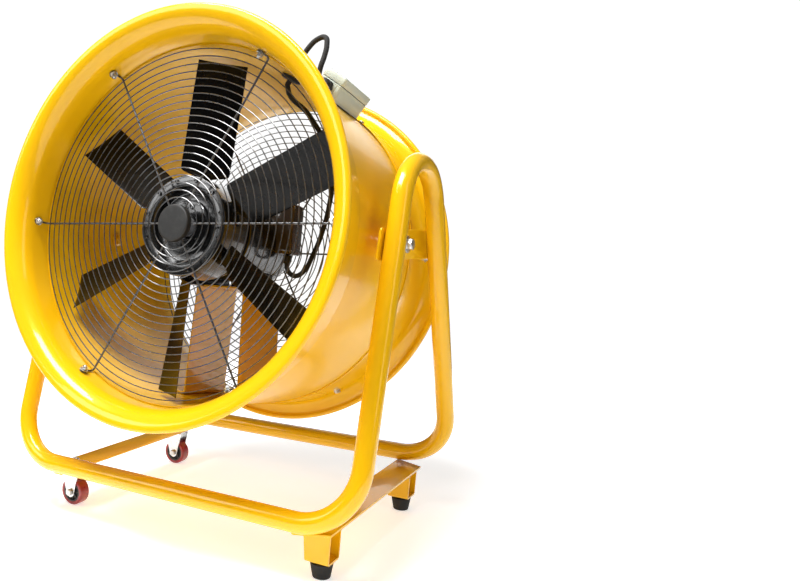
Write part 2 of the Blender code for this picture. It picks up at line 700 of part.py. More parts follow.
def build_pivot_plate(name, side):
    inner = STAND_X - TUBE_R - GAP - PLATE_T
    reach = LEG_Y + LEG_SLOPE * PLATE_H / 2 + TUBE_R + 0.004
    top = LEG_Y - LEG_SLOPE * PLATE_H / 2 + TUBE_R + 0.004
    z0, z1 = PIVOT_Z - PLATE_H / 2, PIVOT_Z + PLATE_H / 2
    outline = [(-reach, z0), (reach, z0), (top, z1), (-top, z1)]
    hole = [(0.0066 * math.cos(math.radians(a)), PIVOT_Z + 0.0066 * math.sin(math.radians(a)))
            for a in range(0, 360, 30)]
    prism(name, outline, lambda p, k: Vector((side * (inner + PLATE_T * k), p[0], p[1])),
          YELLOW, STAND, holes=[hole])


def build_pivot_bolt(name, side, parent):
    """Pivot pin with its inside nut, spacer boss, washer and outside hex head."""
    plate = STAND_X - TUBE_R - GAP - PLATE_T
    outer = plate + PLATE_T + GAP
    shank = 0.0060
    wall = DUCT_R + DUCT_T
    profile = [(0.0, 0.2880), (shank, 0.2880), (shank, 0.2925), (0.0110, 0.2930), (0.0110, DUCT_R - 0.0010),
               (shank, DUCT_R - 0.0010), (shank, wall + 0.0004), (0.0200, wall + 0.0004),
               (0.0180, plate - GAP), (shank, plate - GAP), (shank, outer), (0.0145, outer),
               (0.0145, outer + 0.0022), (0.0100, outer + 0.0024), (0.0100, outer + 0.0090),
               (0.0, outer + 0.0100)]
    revolve(name, profile, Vector(), AXIS_X * side, 12, STEEL, parent, closed=False)


def build_cross_plate(name, x, drill):
    top = RAIL_Z - TUBE_R - GAP
    reach = RAIL_Y + 0.008
    plate = block(name, (x - CROSS_W / 2, -reach, top - CROSS_T), (x + CROSS_W / 2, reach, top), YELLOW, STAND)
    if drill:
        add_boolean(plate, drill, 'DIFFERENCE')


def u_channel(name, centre, base, tip, half_gap, t, base_half, tip_half, look):
    """Folded U: web at height base, two flanges to height tip, width along X varying with height."""
    sign = math.copysign(1.0, tip - base)
    web = base + sign * t
    outer = half_gap + t
    outline = [(-outer, base), (outer, base), (outer, tip), (half_gap, tip), (half_gap, web),
               (-half_gap, web), (-half_gap, tip), (-outer, tip)]

    def place(p, k):
        share = (p[1] - base) / (tip - base)
        half = base_half + (tip_half - base_half) * share
        return Vector((centre[0] + (half if k else -half), centre[1] + p[0], p[1]))

    return prism(name, outline, place, look, STAND, smooth=0.0)


def build_caster(prefix, y, drill):
    hanger = RAIL_Z - TUBE_R - 2 * GAP - CROSS_T
    gap = WHEEL_W / 2 + 0.0015
    fork = u_channel(prefix + "_caster_fork", (WHEEL_X, y), hanger, WHEEL_R - 0.0100, gap, 0.0025,
                     0.0210, 0.0105, STEEL)
    bm = bmesh.new()
    top = RAIL_Z - TUBE_R - GAP
    stud = [(0.0, hanger - 0.0020), (0.0040, hanger - 0.0020), (0.0040, top + GAP), (0.0075, top + GAP),
            (0.0075, top + 0.0065), (0.0042, top + 0.0070), (0.0042, top + 0.0100), (0.0, top + 0.0100)]
    revolve_into(bm, stud, Vector((WHEEL_X, y, 0.0)), AXIS_Z, 12, closed=False)
    add_boolean(fork, as_cutter(finish(prefix + "_stud_tool", bm, STEEL, STAND, 0.0)), 'UNION')
    add_boolean(fork, drill, 'DIFFERENCE')
    axle = Vector((WHEEL_X, y, WHEEL_R))
    out = gap + 0.0025 + GAP
    bolt = [(0.0, -out - 0.0045), (0.0070, -out - 0.0040), (0.0070, -out), (0.0040, -out), (0.0040, out),
            (0.0068, out), (0.0068, out + 0.0050), (0.0, out + 0.0055)]
    revolve(prefix + "_axle_bolt", bolt, axle, AXIS_Y, 12, STEEL, STAND, closed=False)
    spin = add_empty(prefix + "_wheel_axis", Matrix.Translation(axle), STAND)
    core = [(0.0044, 0.0118), (0.0085, 0.0118), (0.0095, 0.0065), (0.0160, 0.0065), (0.0170, 0.0108),
            (0.0195, 0.0108)]
    core += [(r, -a) for r, a in reversed(core)]
    revolve(prefix + "_wheel_core", core, Vector(), AXIS_Y, 20, DARK_CORE, spin)
    tread = [(0.0198, 0.0115), (0.0248, 0.0115), (WHEEL_R, 0.0090)]
    tread += [(r, -a) for r, a in reversed(tread)]
    revolve(prefix + "_wheel_tread", tread, Vector(), AXIS_Y, 20, RED_TREAD, spin)


def build_casters():
    bm = bmesh.new()
    plate = RAIL_Z - TUBE_R
    for y in (-WHEEL_Y, WHEEL_Y):
        foot = Vector((WHEEL_X, y, plate - 0.010))
        cylinder_into(bm, foot, foot + AXIS_Z * 0.015, 0.0046, 12)
    build_cross_plate("wheel_cross_plate", WHEEL_X, as_cutter(finish("stud_drill", bm, STEEL, STAND, 0.0)))
    bm = bmesh.new()
    for y in (-WHEEL_Y, WHEEL_Y):
        centre = Vector((WHEEL_X, y, WHEEL_R))
        cylinder_into(bm, centre - AXIS_Y * 0.03, centre + AXIS_Y * 0.03, 0.0044, 12)
    drill = as_cutter(finish("axle_drill", bm, STEEL, STAND, 0.0))
    build_caster("front", -WHEEL_Y, drill)
    build_caster("rear", WHEEL_Y, drill)


def build_feet():
    build_cross_plate("foot_cross_plate", FOOT_X, None)
    hanger = RAIL_Z - TUBE_R - 2 * GAP - CROSS_T
    for prefix, y in (("front", -FOOT_Y), ("rear", FOOT_Y)):
        u_channel(prefix + "_foot_bracket", (FOOT_X, y), FOOT_H + GAP, hanger, 0.0190, 0.0030,
                  0.0200, 0.0230, YELLOW)
        foot = [(0.0, 0.0), (0.0138, 0.0), (0.0145, 0.0015), (0.0180, FOOT_H - 0.0030), (0.0185, FOOT_H),
                (0.0, FOOT_H)]
        revolve(prefix + "_rubber_foot", foot, Vector((FOOT_X, y, 0.0)), AXIS_Z, 16, RUBBER, STAND,
                closed=False)


def build_stand():
    build_frame_tube("front_frame_tube", -1.0)
    build_frame_tube("rear_frame_tube", 1.0)
    build_pivot_plate("left_pivot_plate", -1.0)
    build_pivot_plate("right_pivot_plate", 1.0)
    build_casters()
    build_feet()


def build_drum():
    turn = Matrix.Translation((0.0, 0.0, PIVOT_Z)) @ Matrix.Rotation(-TILT, 4, 'X')
    drum = add_empty("tilt_axis", turn, STAND)
    spin = add_empty("impeller_axis", Matrix(), drum)
    build_duct(drum)
    for name, side, flare, rim, y, plane in (
            ("front", -1.0, FLARE_FRONT, RIM_FRONT, BOLT_FRONT_Y, GUARD_FRONT_Y),
            ("rear", 1.0, FLARE_REAR, RIM_REAR, BOLT_REAR_Y, GUARD_REAR_Y)):
        cutter = bolt_cutter(name + "_bolt_drill", y, drum)
        build_bell(name + "_bell", side, flare, rim, drum, cutter)
        build_guard(name + "_guard", plane, y, drum, cutter)
        build_guard_bolts(name + "_guard_bolt", y, drum)
    build_pivot_bolt("left_pivot_bolt", -1.0, drum)
    build_pivot_bolt("right_pivot_bolt", 1.0, drum)
    build_cradle(drum)
    build_motor(drum)
    build_terminal_box(drum)
    build_grommet(drum)
    build_cable(drum)
    build_impeller(spin)


def centre_shift():
    """How far the stand moves back so that the part is centred front to back."""
    def reach(flare, rim):
        return max(h * math.cos(TILT) + r * math.sin(TILT) for r, h in bell_profile(flare, rim))
    return (reach(FLARE_FRONT, RIM_FRONT) - reach(FLARE_REAR, RIM_REAR)) / 2.0


clear_scene()
STAND = add_empty("stand_root", Matrix.Translation((0.0, centre_shift(), 0.0)))
build_stand()
build_drum()
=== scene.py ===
"""Portable axial blower: fine pieces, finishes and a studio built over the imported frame.

Laid out as an add-on. Run as a script, it registers its operators and runs them in order.
World: metres, +Z up, front mouth towards -Y. Drum frame: +Y along the duct axis to the rear,
origin on the tilt axis. Stand frame: the world, with y counted from the tilt axis.
"""
import json
import math

import bmesh
import bpy
from bpy.props import FloatProperty, FloatVectorProperty, IntProperty, PointerProperty
from mathutils import Matrix, Vector


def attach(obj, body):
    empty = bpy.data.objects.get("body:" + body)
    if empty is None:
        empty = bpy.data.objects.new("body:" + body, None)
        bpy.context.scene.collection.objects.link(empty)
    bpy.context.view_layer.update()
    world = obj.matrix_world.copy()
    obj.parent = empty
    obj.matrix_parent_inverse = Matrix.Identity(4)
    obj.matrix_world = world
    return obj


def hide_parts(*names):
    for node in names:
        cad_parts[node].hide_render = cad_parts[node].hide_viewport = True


bl_info = {
    "name": "Portable Axial Blower",
    "version": (1, 0, 0),
    "blender": (4, 5, 0),
    "location": "View3D > Sidebar > Blower",
    "description": "Builds the pieces, finishes and studio of a tilting duct blower",
    "category": "Object",
}


def at(x, y, z):
    return Matrix.Translation((x, y, z))


def turn_about(axis, angle):
    return Matrix.Rotation(angle, 4, axis)


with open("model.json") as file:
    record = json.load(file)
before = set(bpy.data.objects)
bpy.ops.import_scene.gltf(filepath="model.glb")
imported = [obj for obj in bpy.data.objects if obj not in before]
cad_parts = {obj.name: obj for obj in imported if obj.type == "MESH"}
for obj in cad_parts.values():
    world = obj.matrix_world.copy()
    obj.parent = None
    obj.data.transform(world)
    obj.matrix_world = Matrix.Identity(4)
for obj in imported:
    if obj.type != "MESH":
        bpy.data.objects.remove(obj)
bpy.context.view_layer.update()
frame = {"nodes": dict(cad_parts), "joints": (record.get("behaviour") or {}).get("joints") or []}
JOINTS = {joint["name"]: joint for joint in frame["joints"]}
PIVOT = Vector(JOINTS["drum_tilt"]["pos_m"])
DUCT_AXIS = Vector(JOINTS["impeller_spin"]["axis"])
TILT = math.atan2(-DUCT_AXIS.z, DUCT_AXIS.y)
DRUM = Matrix.Translation(PIVOT) @ turn_about('X', -TILT)
STAND = at(0.0, PIVOT.y, 0.0)
X = Vector((1.0, 0.0, 0.0))
Y = Vector((0.0, 1.0, 0.0))
Z = Vector((0.0, 0.0, 1.0))


# ---- settings --------------------------------------------------------------------------------
def length(name, description, default):
    return FloatProperty(name=name, description=description, default=default, unit='LENGTH',
                         subtype='DISTANCE', precision=4)


def colour(name, description, default):
    return FloatVectorProperty(name=name, description=description, default=default, size=3,
                               min=0.0, max=1.0, subtype='COLOR')


class DuctSettings(bpy.types.PropertyGroup):
    inside: length("Inside radius", "Inside radius of the duct", 0.3030)
    sheet: length("Sheet", "Thickness of the duct and bell sheet", 0.0020)
    front: length("Front end", "Tilt axis to the front end of the duct", 0.1920)
    rear: length("Rear end", "Tilt axis to the rear end of the duct", 0.1490)
    rim_front: length("Front rim", "Tilt axis to the front rim", 0.2650)
    rim_rear: length("Rear rim", "Tilt axis to the rear rim", 0.2070)
    rim: length("Rim radius", "Outside radius of the rolled rims", 0.3425)
    bead: length("Rolled edge", "Radius of the rolled edge", 0.0045)
    flare_front: length("Front flare", "Depth of the front flare", 0.0400)
    flare_rear: length("Rear flare", "Depth of the rear flare", 0.0280)
    bell: length("Bell length", "Collar end to rim", 0.1190)


class GuardSettings(bpy.types.PropertyGroup):
    rings: IntProperty(name="Rings", description="Round wires in each guard", default=21, min=4,
                       max=40)
    pitch: length("Pitch", "Spacing of the round wires", 0.0125)
    wire: length("Wire radius", "Radius of the round wires", 0.00100)
    spoke: length("Spoke radius", "Radius of the straight wires", 0.0018)
    disc: length("Disc radius", "Radius of the centre disc", 0.0314)
    eye: length("Eye radius", "Radius of the loop round each bolt", 0.0052)
    front: length("Front plane", "Tilt axis to the front guard", 0.1970)
    rear: length("Rear plane", "Tilt axis to the rear guard", 0.1540)
    bolt_front: length("Front bolts", "Tilt axis to the front guard bolts", 0.2205)
    bolt_rear: length("Rear bolts", "Tilt axis to the rear guard bolts", 0.1725)


class ImpellerSettings(bpy.types.PropertyGroup):
    plane: length("Blade plane", "Tilt axis to the blade plane", 0.1390)
    tip: length("Tip radius", "Radius of the blade tips", 0.2900)
    chord: length("Chord", "Blade width", 0.0860)
    hub: length("Hub radius", "Outside radius of the hub", 0.0860)
    start: FloatProperty(name="First blade", description="Angle of the first blade",
                         default=math.radians(85.0), subtype='ANGLE')
    pitch: FloatProperty(name="Tip pitch", description="Blade angle at the tip",
                         default=math.radians(31.0), subtype='ANGLE')
    twist: FloatProperty(name="Twist", description="Extra blade angle at the root",
                         default=math.radians(11.0), subtype='ANGLE')


class StandSettings(bpy.types.PropertyGroup):
    tube: length("Tube radius", "Outside radius of the bent tube", 0.0165)
    half_width: length("Half width", "Centre to the plane of each pair of legs", 0.3485)
    rail_y: length("Rail reach", "Centre to each floor rail", 0.2280)
    rail_z: length("Rail height", "Height of the floor rails", 0.0985)
    leg_y: length("Leg spread", "Tilt axis to each leg at pivot height", 0.1027)
    slope: FloatProperty(name="Leg slope", description="Spread of the legs per unit of height",
                         default=0.30)
    top: length("Top", "Highest point of the bent tube", 0.6638)
    bend: length("Floor bend", "Radius of the bends at the floor", 0.0950)
    wheel_x: length("Wheel side", "Centre to the wheels", 0.2635)
    wheel_y: length("Wheel spread", "Centre to each wheel", 0.1640)
    foot_x: length("Foot side", "Centre to the feet", 0.2756)
    foot_y: length("Foot spread", "Centre to each foot", 0.1770)
    wheel: length("Wheel radius", "Radius of the wheels", 0.0265)


class FinishSettings(bpy.types.PropertyGroup):
    paint: colour("Paint", "Powder coat on the drum and stand", (0.82, 0.450, 0.004))
    wire: colour("Wire", "Coating of the guards", (0.030, 0.030, 0.031))
    blade: colour("Impeller", "Gloss black of the impeller", (0.0040, 0.0040, 0.0040))
    motor: colour("Motor", "Gloss paint of the motor", (0.0060, 0.0058, 0.0060))
    box: colour("Terminal box", "Moulded terminal box", (0.60, 0.66, 0.56))
    tread: colour("Tread", "Polyurethane tread of the wheels", (0.30, 0.014, 0.018))


class StageSettings(bpy.types.PropertyGroup):
    azimuth: FloatProperty(name="Azimuth", description="Camera angle round the blower",
                           default=math.radians(32.4), subtype='ANGLE')
    elevation: FloatProperty(name="Elevation", description="Camera angle above the horizon",
                             default=math.radians(5.2), subtype='ANGLE')
    roll: FloatProperty(name="Roll", description="Camera roll", default=math.radians(0.9),
                        subtype='ANGLE')
    distance: length("Distance", "Camera to its target", 1.3943)
    target: length("Target height", "Height the camera looks at", 0.3885)
    lens: FloatProperty(name="Lens", description="Focal length", default=32.83,
                        subtype='DISTANCE_CAMERA')
    key: FloatProperty(name="Key light", description="Power of the large soft light", default=17.0,
                       unit='POWER')


class BlowerSettings(bpy.types.PropertyGroup):
    duct: PointerProperty(type=DuctSettings, name="Duct", description="Duct and bells")
    guard: PointerProperty(type=GuardSettings, name="Guards", description="Wire guards")
    impeller: PointerProperty(type=ImpellerSettings, name="Impeller", description="Blades and hub")
    stand: PointerProperty(type=StandSettings, name="Stand", description="Tube stand")
    finish: PointerProperty(type=FinishSettings, name="Finishes", description="Colours")
    stage: PointerProperty(type=StageSettings, name="Stage", description="Camera and light")


def settings():
    return bpy.context.scene.blower


# ---- shaping ---------------------------------------------------------------------------------
BOLT_COUNT = 6          # bolts and spokes of each guard, and blades
MERGE = 1e-6            # points of a turned shape that are one
WELD = 2e-7             # points of a finished piece that are one
SEAM = 1e-5             # points on a mirror plane that are one
QUARTER = math.pi / 2


def framed(across, along, out, position):
    """A placing matrix from its three directions and its position."""
    place = Matrix((across, along, out)).transposed().to_4x4()
    place.translation = position
    return place


def add_object(name, data):
    """Put a new object in the scene in place of any earlier one of that name."""
    old = bpy.data.objects.get(name)
    if old is not None:
        bpy.data.objects.remove(old, do_unlink=True)
    made = bpy.data.objects.new(name, data)
    bpy.context.scene.collection.objects.link(made)
    return made


def points_of(geometry):
    return [g for g in geometry if isinstance(g, bmesh.types.BMVert)]


def aimed(position, direction):
    """A placing matrix with local +Z along a direction."""
    return Matrix.Translation(position) @ direction.to_track_quat('Z', 'Y').to_matrix().to_4x4()


def round_drum(angle, radius, y):
    """A point in the drum frame by angle from +X, radius and place along the axis."""
    return Vector((radius * math.cos(angle), y, radius * math.sin(angle)))


def arc(r, h, radius, start, end, steps):
    """(radius, height) points along an arc whose centre is (r, h), angles in degrees."""
    turns = [math.radians(start + (end - start) * i / steps) for i in range(steps + 1)]
    return [(r + radius * math.cos(a), h + radius * math.sin(a)) for a in turns]


def fresh(bm, before):
    return [v for v in bm.verts if v not in before]


def edges_among(verts):
    inside = set(verts)
    return list({e for v in verts for e in v.link_edges
                 if e.verts[0] in inside and e.verts[1] in inside})


def turned(bm, profile, place=None, steps=48, closed=False):
    """Spin (radius, height) points about local +Z and put the solid in place."""
    before = set(bm.verts)
    verts = [bm.verts.new((r, 0.0, h)) for r, h in profile]
    edges = [bm.edges.new(pair) for pair in zip(verts, verts[1:])]
    if closed:
        edges.append(bm.edges.new((verts[-1], verts[0])))
    bmesh.ops.spin(bm, geom=verts + edges, cent=(0, 0, 0), axis=(0, 0, 1), angle=2.0 * math.pi,
                   steps=steps, use_merge=True)
    bmesh.ops.remove_doubles(bm, verts=fresh(bm, before), dist=MERGE)
    made = fresh(bm, before)
    if place is not None:
        bmesh.ops.transform(bm, matrix=place, verts=made)
    return made


def soften(bm, edges, width, segments=2):
    bmesh.ops.bevel(bm, geom=edges, offset=width, offset_type='OFFSET', affect='EDGES',
                    segments=segments,
                    profile=0.5, material=-1, clamp_overlap=True)


def sharp_edges(verts, angle=30.0):
    """Edges between faces that meet at more than an angle."""
    found = []
    for edge in edges_among(verts):
        if len(edge.link_faces) == 2 and edge.calc_face_angle(0.0) > math.radians(angle):
            found.append(edge)
    return found


def prism(bm, radius, height, sides, place, rounding=0.0, turn=0.0):
    """A straight bar of some sides standing on its local floor."""
    before = set(bm.verts)
    bmesh.ops.create_cone(bm, cap_ends=True, segments=sides, radius1=radius, radius2=radius,
                          depth=height,
                          matrix=at(0, 0, height / 2) @ turn_about('Z', turn))
    if rounding:
        soften(bm, sharp_edges(fresh(bm, before), 20.0), rounding)
    made = fresh(bm, before)
    bmesh.ops.transform(bm, matrix=place, verts=made)
    return made


def slab(bm, size, place, corner=0.0, rounding=0.0):
    """A block on its local floor, with its upright corners and then its other edges rounded."""
    before = set(bm.verts)
    bmesh.ops.create_cube(bm, size=1.0, matrix=at(0, 0, size[2] / 2)
                          @ Matrix.Diagonal((*size, 1.0)))
    if corner:
        upright = [e for e in edges_among(fresh(bm, before))
                   if abs(e.verts[0].co.z - e.verts[1].co.z) > size[2] * 0.5]
        soften(bm, upright, corner, 5)
    if rounding:
        soften(bm, sharp_edges(fresh(bm, before), 60.0), rounding)
    made = fresh(bm, before)
    bmesh.ops.transform(bm, matrix=place, verts=made)
    return made


def hex_bolt(bm, place, across, height, washer=0.0):
    """A hex head with a chamfered top, standing on a washer."""
    base = 0.0
    if washer:
        turned(bm, [(0, 0), (washer, 0), (washer, 0.0010), (washer - 0.0004, 0.0013), (0, 0.0013)],
               place, 20)
        base = 0.0012
    seat = place @ at(0, 0, base)
    prism(bm, across, height, 6, seat, 0.0003)
    turned(bm, [(0, height * 0.9), (across * 0.80, height * 0.9), (across * 0.74, height + 0.0005),
                (0, height + 0.0006)], seat, 16)


def cap_screw(bm, place, radius, height):
    """A round screw head with a round socket."""
    socket = radius * 0.52
    turned(bm, [(0, height * 0.45), (socket, height * 0.45), (socket, height),
                (radius - 0.0005, height),
                (radius, height - 0.0006), (radius, 0), (0, 0)], place, 18)


def wire_ring(bm, place, ring, wire, steps, sides=6):
    """A round wire bent into a ring about local +Z."""
    before = set(bm.verts)
    start = bmesh.ops.create_circle(bm, segments=sides, radius=wire,
                                    matrix=at(ring, 0, 0) @ turn_about('X', QUARTER))
    bmesh.ops.spin(bm, geom=start["verts"] + edges_among(start["verts"]), cent=(0, 0, 0),
                   axis=(0, 0, 1),
                   angle=2.0 * math.pi, steps=steps, use_merge=True)
    made = fresh(bm, before)
    bmesh.ops.transform(bm, matrix=place, verts=made)
    return made


def copies_round(bm, verts, axis, count, centre=(0.0, 0.0, 0.0)):
    """Repeat a shape evenly round an axis."""
    faces = {f for v in verts for f in v.link_faces}
    bmesh.ops.spin(bm, geom=list(verts) + edges_among(verts) + list(faces), cent=centre, axis=axis,
                   angle=2.0 * math.pi * (count - 1) / count, steps=count - 1, use_duplicate=True)


class Bar:
    """A round bar drawn out of its own end: straight lengths and bends, one after the other."""

    def __init__(self, bm, start, heading, radius, sides):
        self.bm, self.at, self.heading = bm, start.copy(), heading.normalized()
        self.end = bmesh.ops.create_circle(bm, segments=sides, radius=radius,
                                           matrix=aimed(self.at, self.heading))["verts"]
        self.first = list(self.end)

    def straight(self, distance, cuts=1):
        for _ in range(cuts):
            made = bmesh.ops.extrude_edge_only(self.bm, edges=edges_among(self.end))["geom"]
            self.end = points_of(made)
            step = self.heading * (distance / cuts)
            bmesh.ops.translate(self.bm, verts=self.end, vec=step)
            self.at += step
        return self

    def bend(self, centre, axis, angle, steps):
        made = bmesh.ops.spin(self.bm, geom=self.end + edges_among(self.end), cent=centre,
                              axis=axis,
                              angle=angle, steps=steps)["geom_last"]
        self.end = points_of(made)
        turn = Matrix.Rotation(angle, 3, axis)
        self.heading = turn @ self.heading
        self.at = centre + turn @ (self.at - centre)
        return self

    def close(self):
        for ring in (self.first, self.end):
            bmesh.ops.edgeloop_fill(self.bm, edges=edges_among(ring))


def folded(bm, line, half_width, thickness, place):
    """A strip of sheet: a line folded in local YZ, drawn out along X to a width set by height."""
    before = set(bm.verts)
    left = [bm.verts.new((-1.0, y, z)) for y, z in line]
    for pair in zip(left, left[1:]):
        bm.edges.new(pair)
    made = bmesh.ops.extrude_edge_only(bm, edges=edges_among(left))["geom"]
    bmesh.ops.translate(bm, verts=points_of(made), vec=(2.0, 0, 0))
    for vert in fresh(bm, before):
        vert.co.x *= half_width(vert.co.z)
    faces = list({f for v in fresh(bm, before) for f in v.link_faces})
    bmesh.ops.recalc_face_normals(bm, faces=faces)
    bmesh.ops.solidify(bm, geom=faces, thickness=thickness)
    made = fresh(bm, before)
    bmesh.ops.transform(bm, matrix=place, verts=made)
    return made


def plate(bm, corners, vec):
    """A flat plate: a face drawn out along a vector."""
    face = bm.faces.new([bm.verts.new(corner) for corner in corners])
    made = bmesh.ops.extrude_face_region(bm, geom=[face])["geom"]
    bmesh.ops.translate(bm, verts=points_of(made), vec=vec)
    bmesh.ops.recalc_face_normals(bm, faces=bm.faces)


def make_piece(name, bm, coat, body, replaced=(), place=None, sharp=38.0):
    """Turn a bmesh into a finished piece that rides on a body of the frame."""
    if place is None:
        place = DRUM if body in ("drum", "impeller") else STAND
    bmesh.ops.transform(bm, matrix=place, verts=bm.verts)
    bmesh.ops.remove_doubles(bm, verts=bm.verts, dist=WELD)
    bmesh.ops.recalc_face_normals(bm, faces=bm.faces)
    if not bm.faces:
        raise RuntimeError("the piece %s came out empty" % name)
    mesh = bpy.data.meshes.new(name)
    bm.to_mesh(mesh)
    bm.free()
    mesh.shade_smooth()
    mesh.set_sharp_from_angle(angle=math.radians(sharp))
    mesh.materials.append(finish(coat))
    piece = add_object(name, mesh)
    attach(piece, body)
    if replaced:
        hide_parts(*replaced)


def refinish(node, finish):
    """Give a kept node of the frame its finish."""
    slots = frame["nodes"][node].data.materials
    slots.clear()
    slots.append(finish)


# ---- finishes --------------------------------------------------------------------------------
class Finish:
    """A node material in the making, on object coordinates."""

    def __init__(self, name, **values):
        self.material = bpy.data.materials.new(name)
        self.material.use_nodes = True
        self.tree = self.material.node_tree
        self.tree.nodes.clear()
        self.shader = self.tree.nodes.new('ShaderNodeBsdfPrincipled')
        output = self.tree.nodes.new('ShaderNodeOutputMaterial')
        self.tree.links.new(self.shader.outputs["BSDF"], output.inputs["Surface"])
        self.place = self.tree.nodes.new('ShaderNodeTexCoord').outputs["Object"]
        self.set(**values)

    def set(self, **values):
        for key, value in values.items():
            self.shader.inputs[key.replace("_", " ")].default_value = value
        return self

    def add(self, kind, **values):
        node = self.tree.nodes.new(kind)
        for key, value in values.items():
            if hasattr(node, key):
                setattr(node, key, value)
            else:
                node.inputs[key.replace("_", " ")].default_value = value
        return node

    def link(self, source, target):
        self.tree.links.new(source, target)

    def stretched(self, scale, turn=(0.0, 0.0, 0.0)):
        node = self.add('ShaderNodeMapping')
        node.inputs["Scale"].default_value = scale
        node.inputs["Rotation"].default_value = turn
        self.link(self.place, node.inputs["Vector"])
        return node.outputs["Vector"]

    def noise(self, scale, detail=2.0, rough=0.5, where=None):
        node = self.add('ShaderNodeTexNoise', Scale=scale, Detail=detail, Roughness=rough)
        self.link(where or self.place, node.inputs["Vector"])
        return node.outputs["Fac"]

    def cells(self, scale):
        node = self.add('ShaderNodeTexVoronoi', Scale=scale)
        self.link(self.place, node.inputs["Vector"])
        return node.outputs["Distance"]

    def span(self, value, low, high, to_low, to_high):
        node = self.add('ShaderNodeMapRange')
        for key, number in (("From Min", low), ("From Max", high), ("To Min", to_low),
                            ("To Max", to_high)):
            node.inputs[key].default_value = number
        self.link(value, node.inputs["Value"])
        return node.outputs["Result"]

    def blend(self, share, first, second):
        node = self.add('ShaderNodeMix', data_type='RGBA')
        inputs = [s for s in node.inputs if s.type == 'RGBA']
        for socket, value in zip(inputs, (first, second)):
            if isinstance(value, bpy.types.NodeSocket):
                self.link(value, socket)
            else:
                socket.default_value = (*value, 1.0)
        factor = node.inputs["Factor"]
        if isinstance(share, bpy.types.NodeSocket):
            self.link(share, factor)
        else:
            factor.default_value = share
        return next(s for s in node.outputs if s.type == 'RGBA')

    def combine(self, first, second, operation='MULTIPLY'):
        node = self.add('ShaderNodeMath', operation=operation)
        self.link(first, node.inputs[0])
        if isinstance(second, bpy.types.NodeSocket):
            self.link(second, node.inputs[1])
        else:
            node.inputs[1].default_value = second
        return node.outputs["Value"]

    def bump(self, height, distance, strength=1.0, under=None):
        node = self.add('ShaderNodeBump', Strength=strength, Distance=distance)
        self.link(height, node.inputs["Height"])
        if under is not None:
            self.link(under, node.inputs["Normal"])
        return node.outputs["Normal"]

    def use(self, base=None, rough=None, normal=None):
        for key, socket in (("Base Color", base), ("Roughness", rough), ("Normal", normal)):
            if socket is not None:
                self.link(socket, self.shader.inputs[key])
        return self.material


def shade(tone, factor, lift=0.0):
    return tuple(min(1.0, c * factor + lift) for c in tone)


def powder_coat(name, tone, coat=0.60, ior=1.5):
    """Gloss powder coat: slight orange peel, soft tone drift, a little dust and fine scuffs."""
    f = Finish(name, IOR=ior, Coat_Weight=coat, Coat_Roughness=0.035, Coat_IOR=1.5,
               Specular_Tint=(1.0, 0.74, 0.16, 1.0))
    drift = f.span(f.noise(5.0, 3.0), 0.30, 0.70, 0.0, 1.0)
    base = f.blend(drift, shade(tone, 0.96), shade(tone, 1.04))
    dust = f.span(f.noise(38.0, 6.0, 0.65), 0.56, 0.80, 0.0, 0.06)
    base = f.blend(dust, base, shade(tone, 0.72, 0.06))
    scuff_lines = f.noise(30.0, 4.0, 0.7, where=f.stretched((1.0, 9.0, 2.0), (0.5, 0.3, 0.9)))
    scuffs = f.combine(f.span(scuff_lines, 0.66, 0.74, 0.0, 1.0),
                       f.span(f.noise(9.0), 0.5, 0.75, 0.0, 1.0))
    base = f.blend(f.combine(scuffs, 0.16), base, shade(tone, 0.60, 0.03))
    rough = f.combine(f.span(f.noise(14.0, 4.0), 0.2, 0.8, 0.20, 0.28),
                      f.combine(scuffs, 0.12), 'ADD')
    peel = f.bump(f.noise(210.0, 1.5), 0.00012, 0.55)
    fine = f.bump(f.noise(1500.0, 2.0), 0.00002, 0.35, peel)
    f.link(peel, f.shader.inputs["Coat Normal"])
    return f.use(base, rough, fine)


def gloss_black(name, tone, coat=0.55, scuffed=True, level=0.5, haze=0.06):
    """Gloss black paint on a casting: dust, fine rubbing marks and a soft sheen."""
    f = Finish(name, IOR=1.5, Coat_Weight=coat, Coat_Roughness=haze, Coat_IOR=1.5,
               Specular_IOR_Level=level)
    dust = f.span(f.noise(55.0, 6.0, 0.7), 0.50, 0.80, 0.0, 0.20)
    base = f.blend(dust, tone, shade(tone, 1.0, 0.020))
    rough = f.span(f.noise(24.0, 5.0, 0.6), 0.25, 0.75, 0.14, 0.28)
    if scuffed:
        lines = f.noise(90.0, 3.0, 0.7, where=f.stretched((1.0, 6.0, 1.0), (0.2, 0.0, 0.7)))
        scuffs = f.span(lines, 0.69, 0.75, 0.0, 0.45)
        base = f.blend(scuffs, base, (0.050, 0.047, 0.043))
        rough = f.combine(rough, f.combine(scuffs, 0.35), 'ADD')
    cast = f.bump(f.noise(420.0, 3.0, 0.6), 0.00003, 0.35)
    return f.use(base, rough, cast)


def coated_wire(name, tone):
    """Satin dipped coating with thin bright rubs on the high spots."""
    f = Finish(name, IOR=1.5, Coat_Weight=0.8, Coat_Roughness=0.09, Coat_IOR=1.6)
    rub = f.span(f.noise(160.0, 5.0, 0.7), 0.64, 0.74, 0.0, 0.45)
    base = f.blend(rub, tone, (0.20, 0.20, 0.20))
    rough = f.span(f.noise(70.0, 3.0), 0.25, 0.75, 0.22, 0.36)
    return f.use(base, rough, f.bump(f.noise(700.0, 3.0), 0.00005, 0.6))


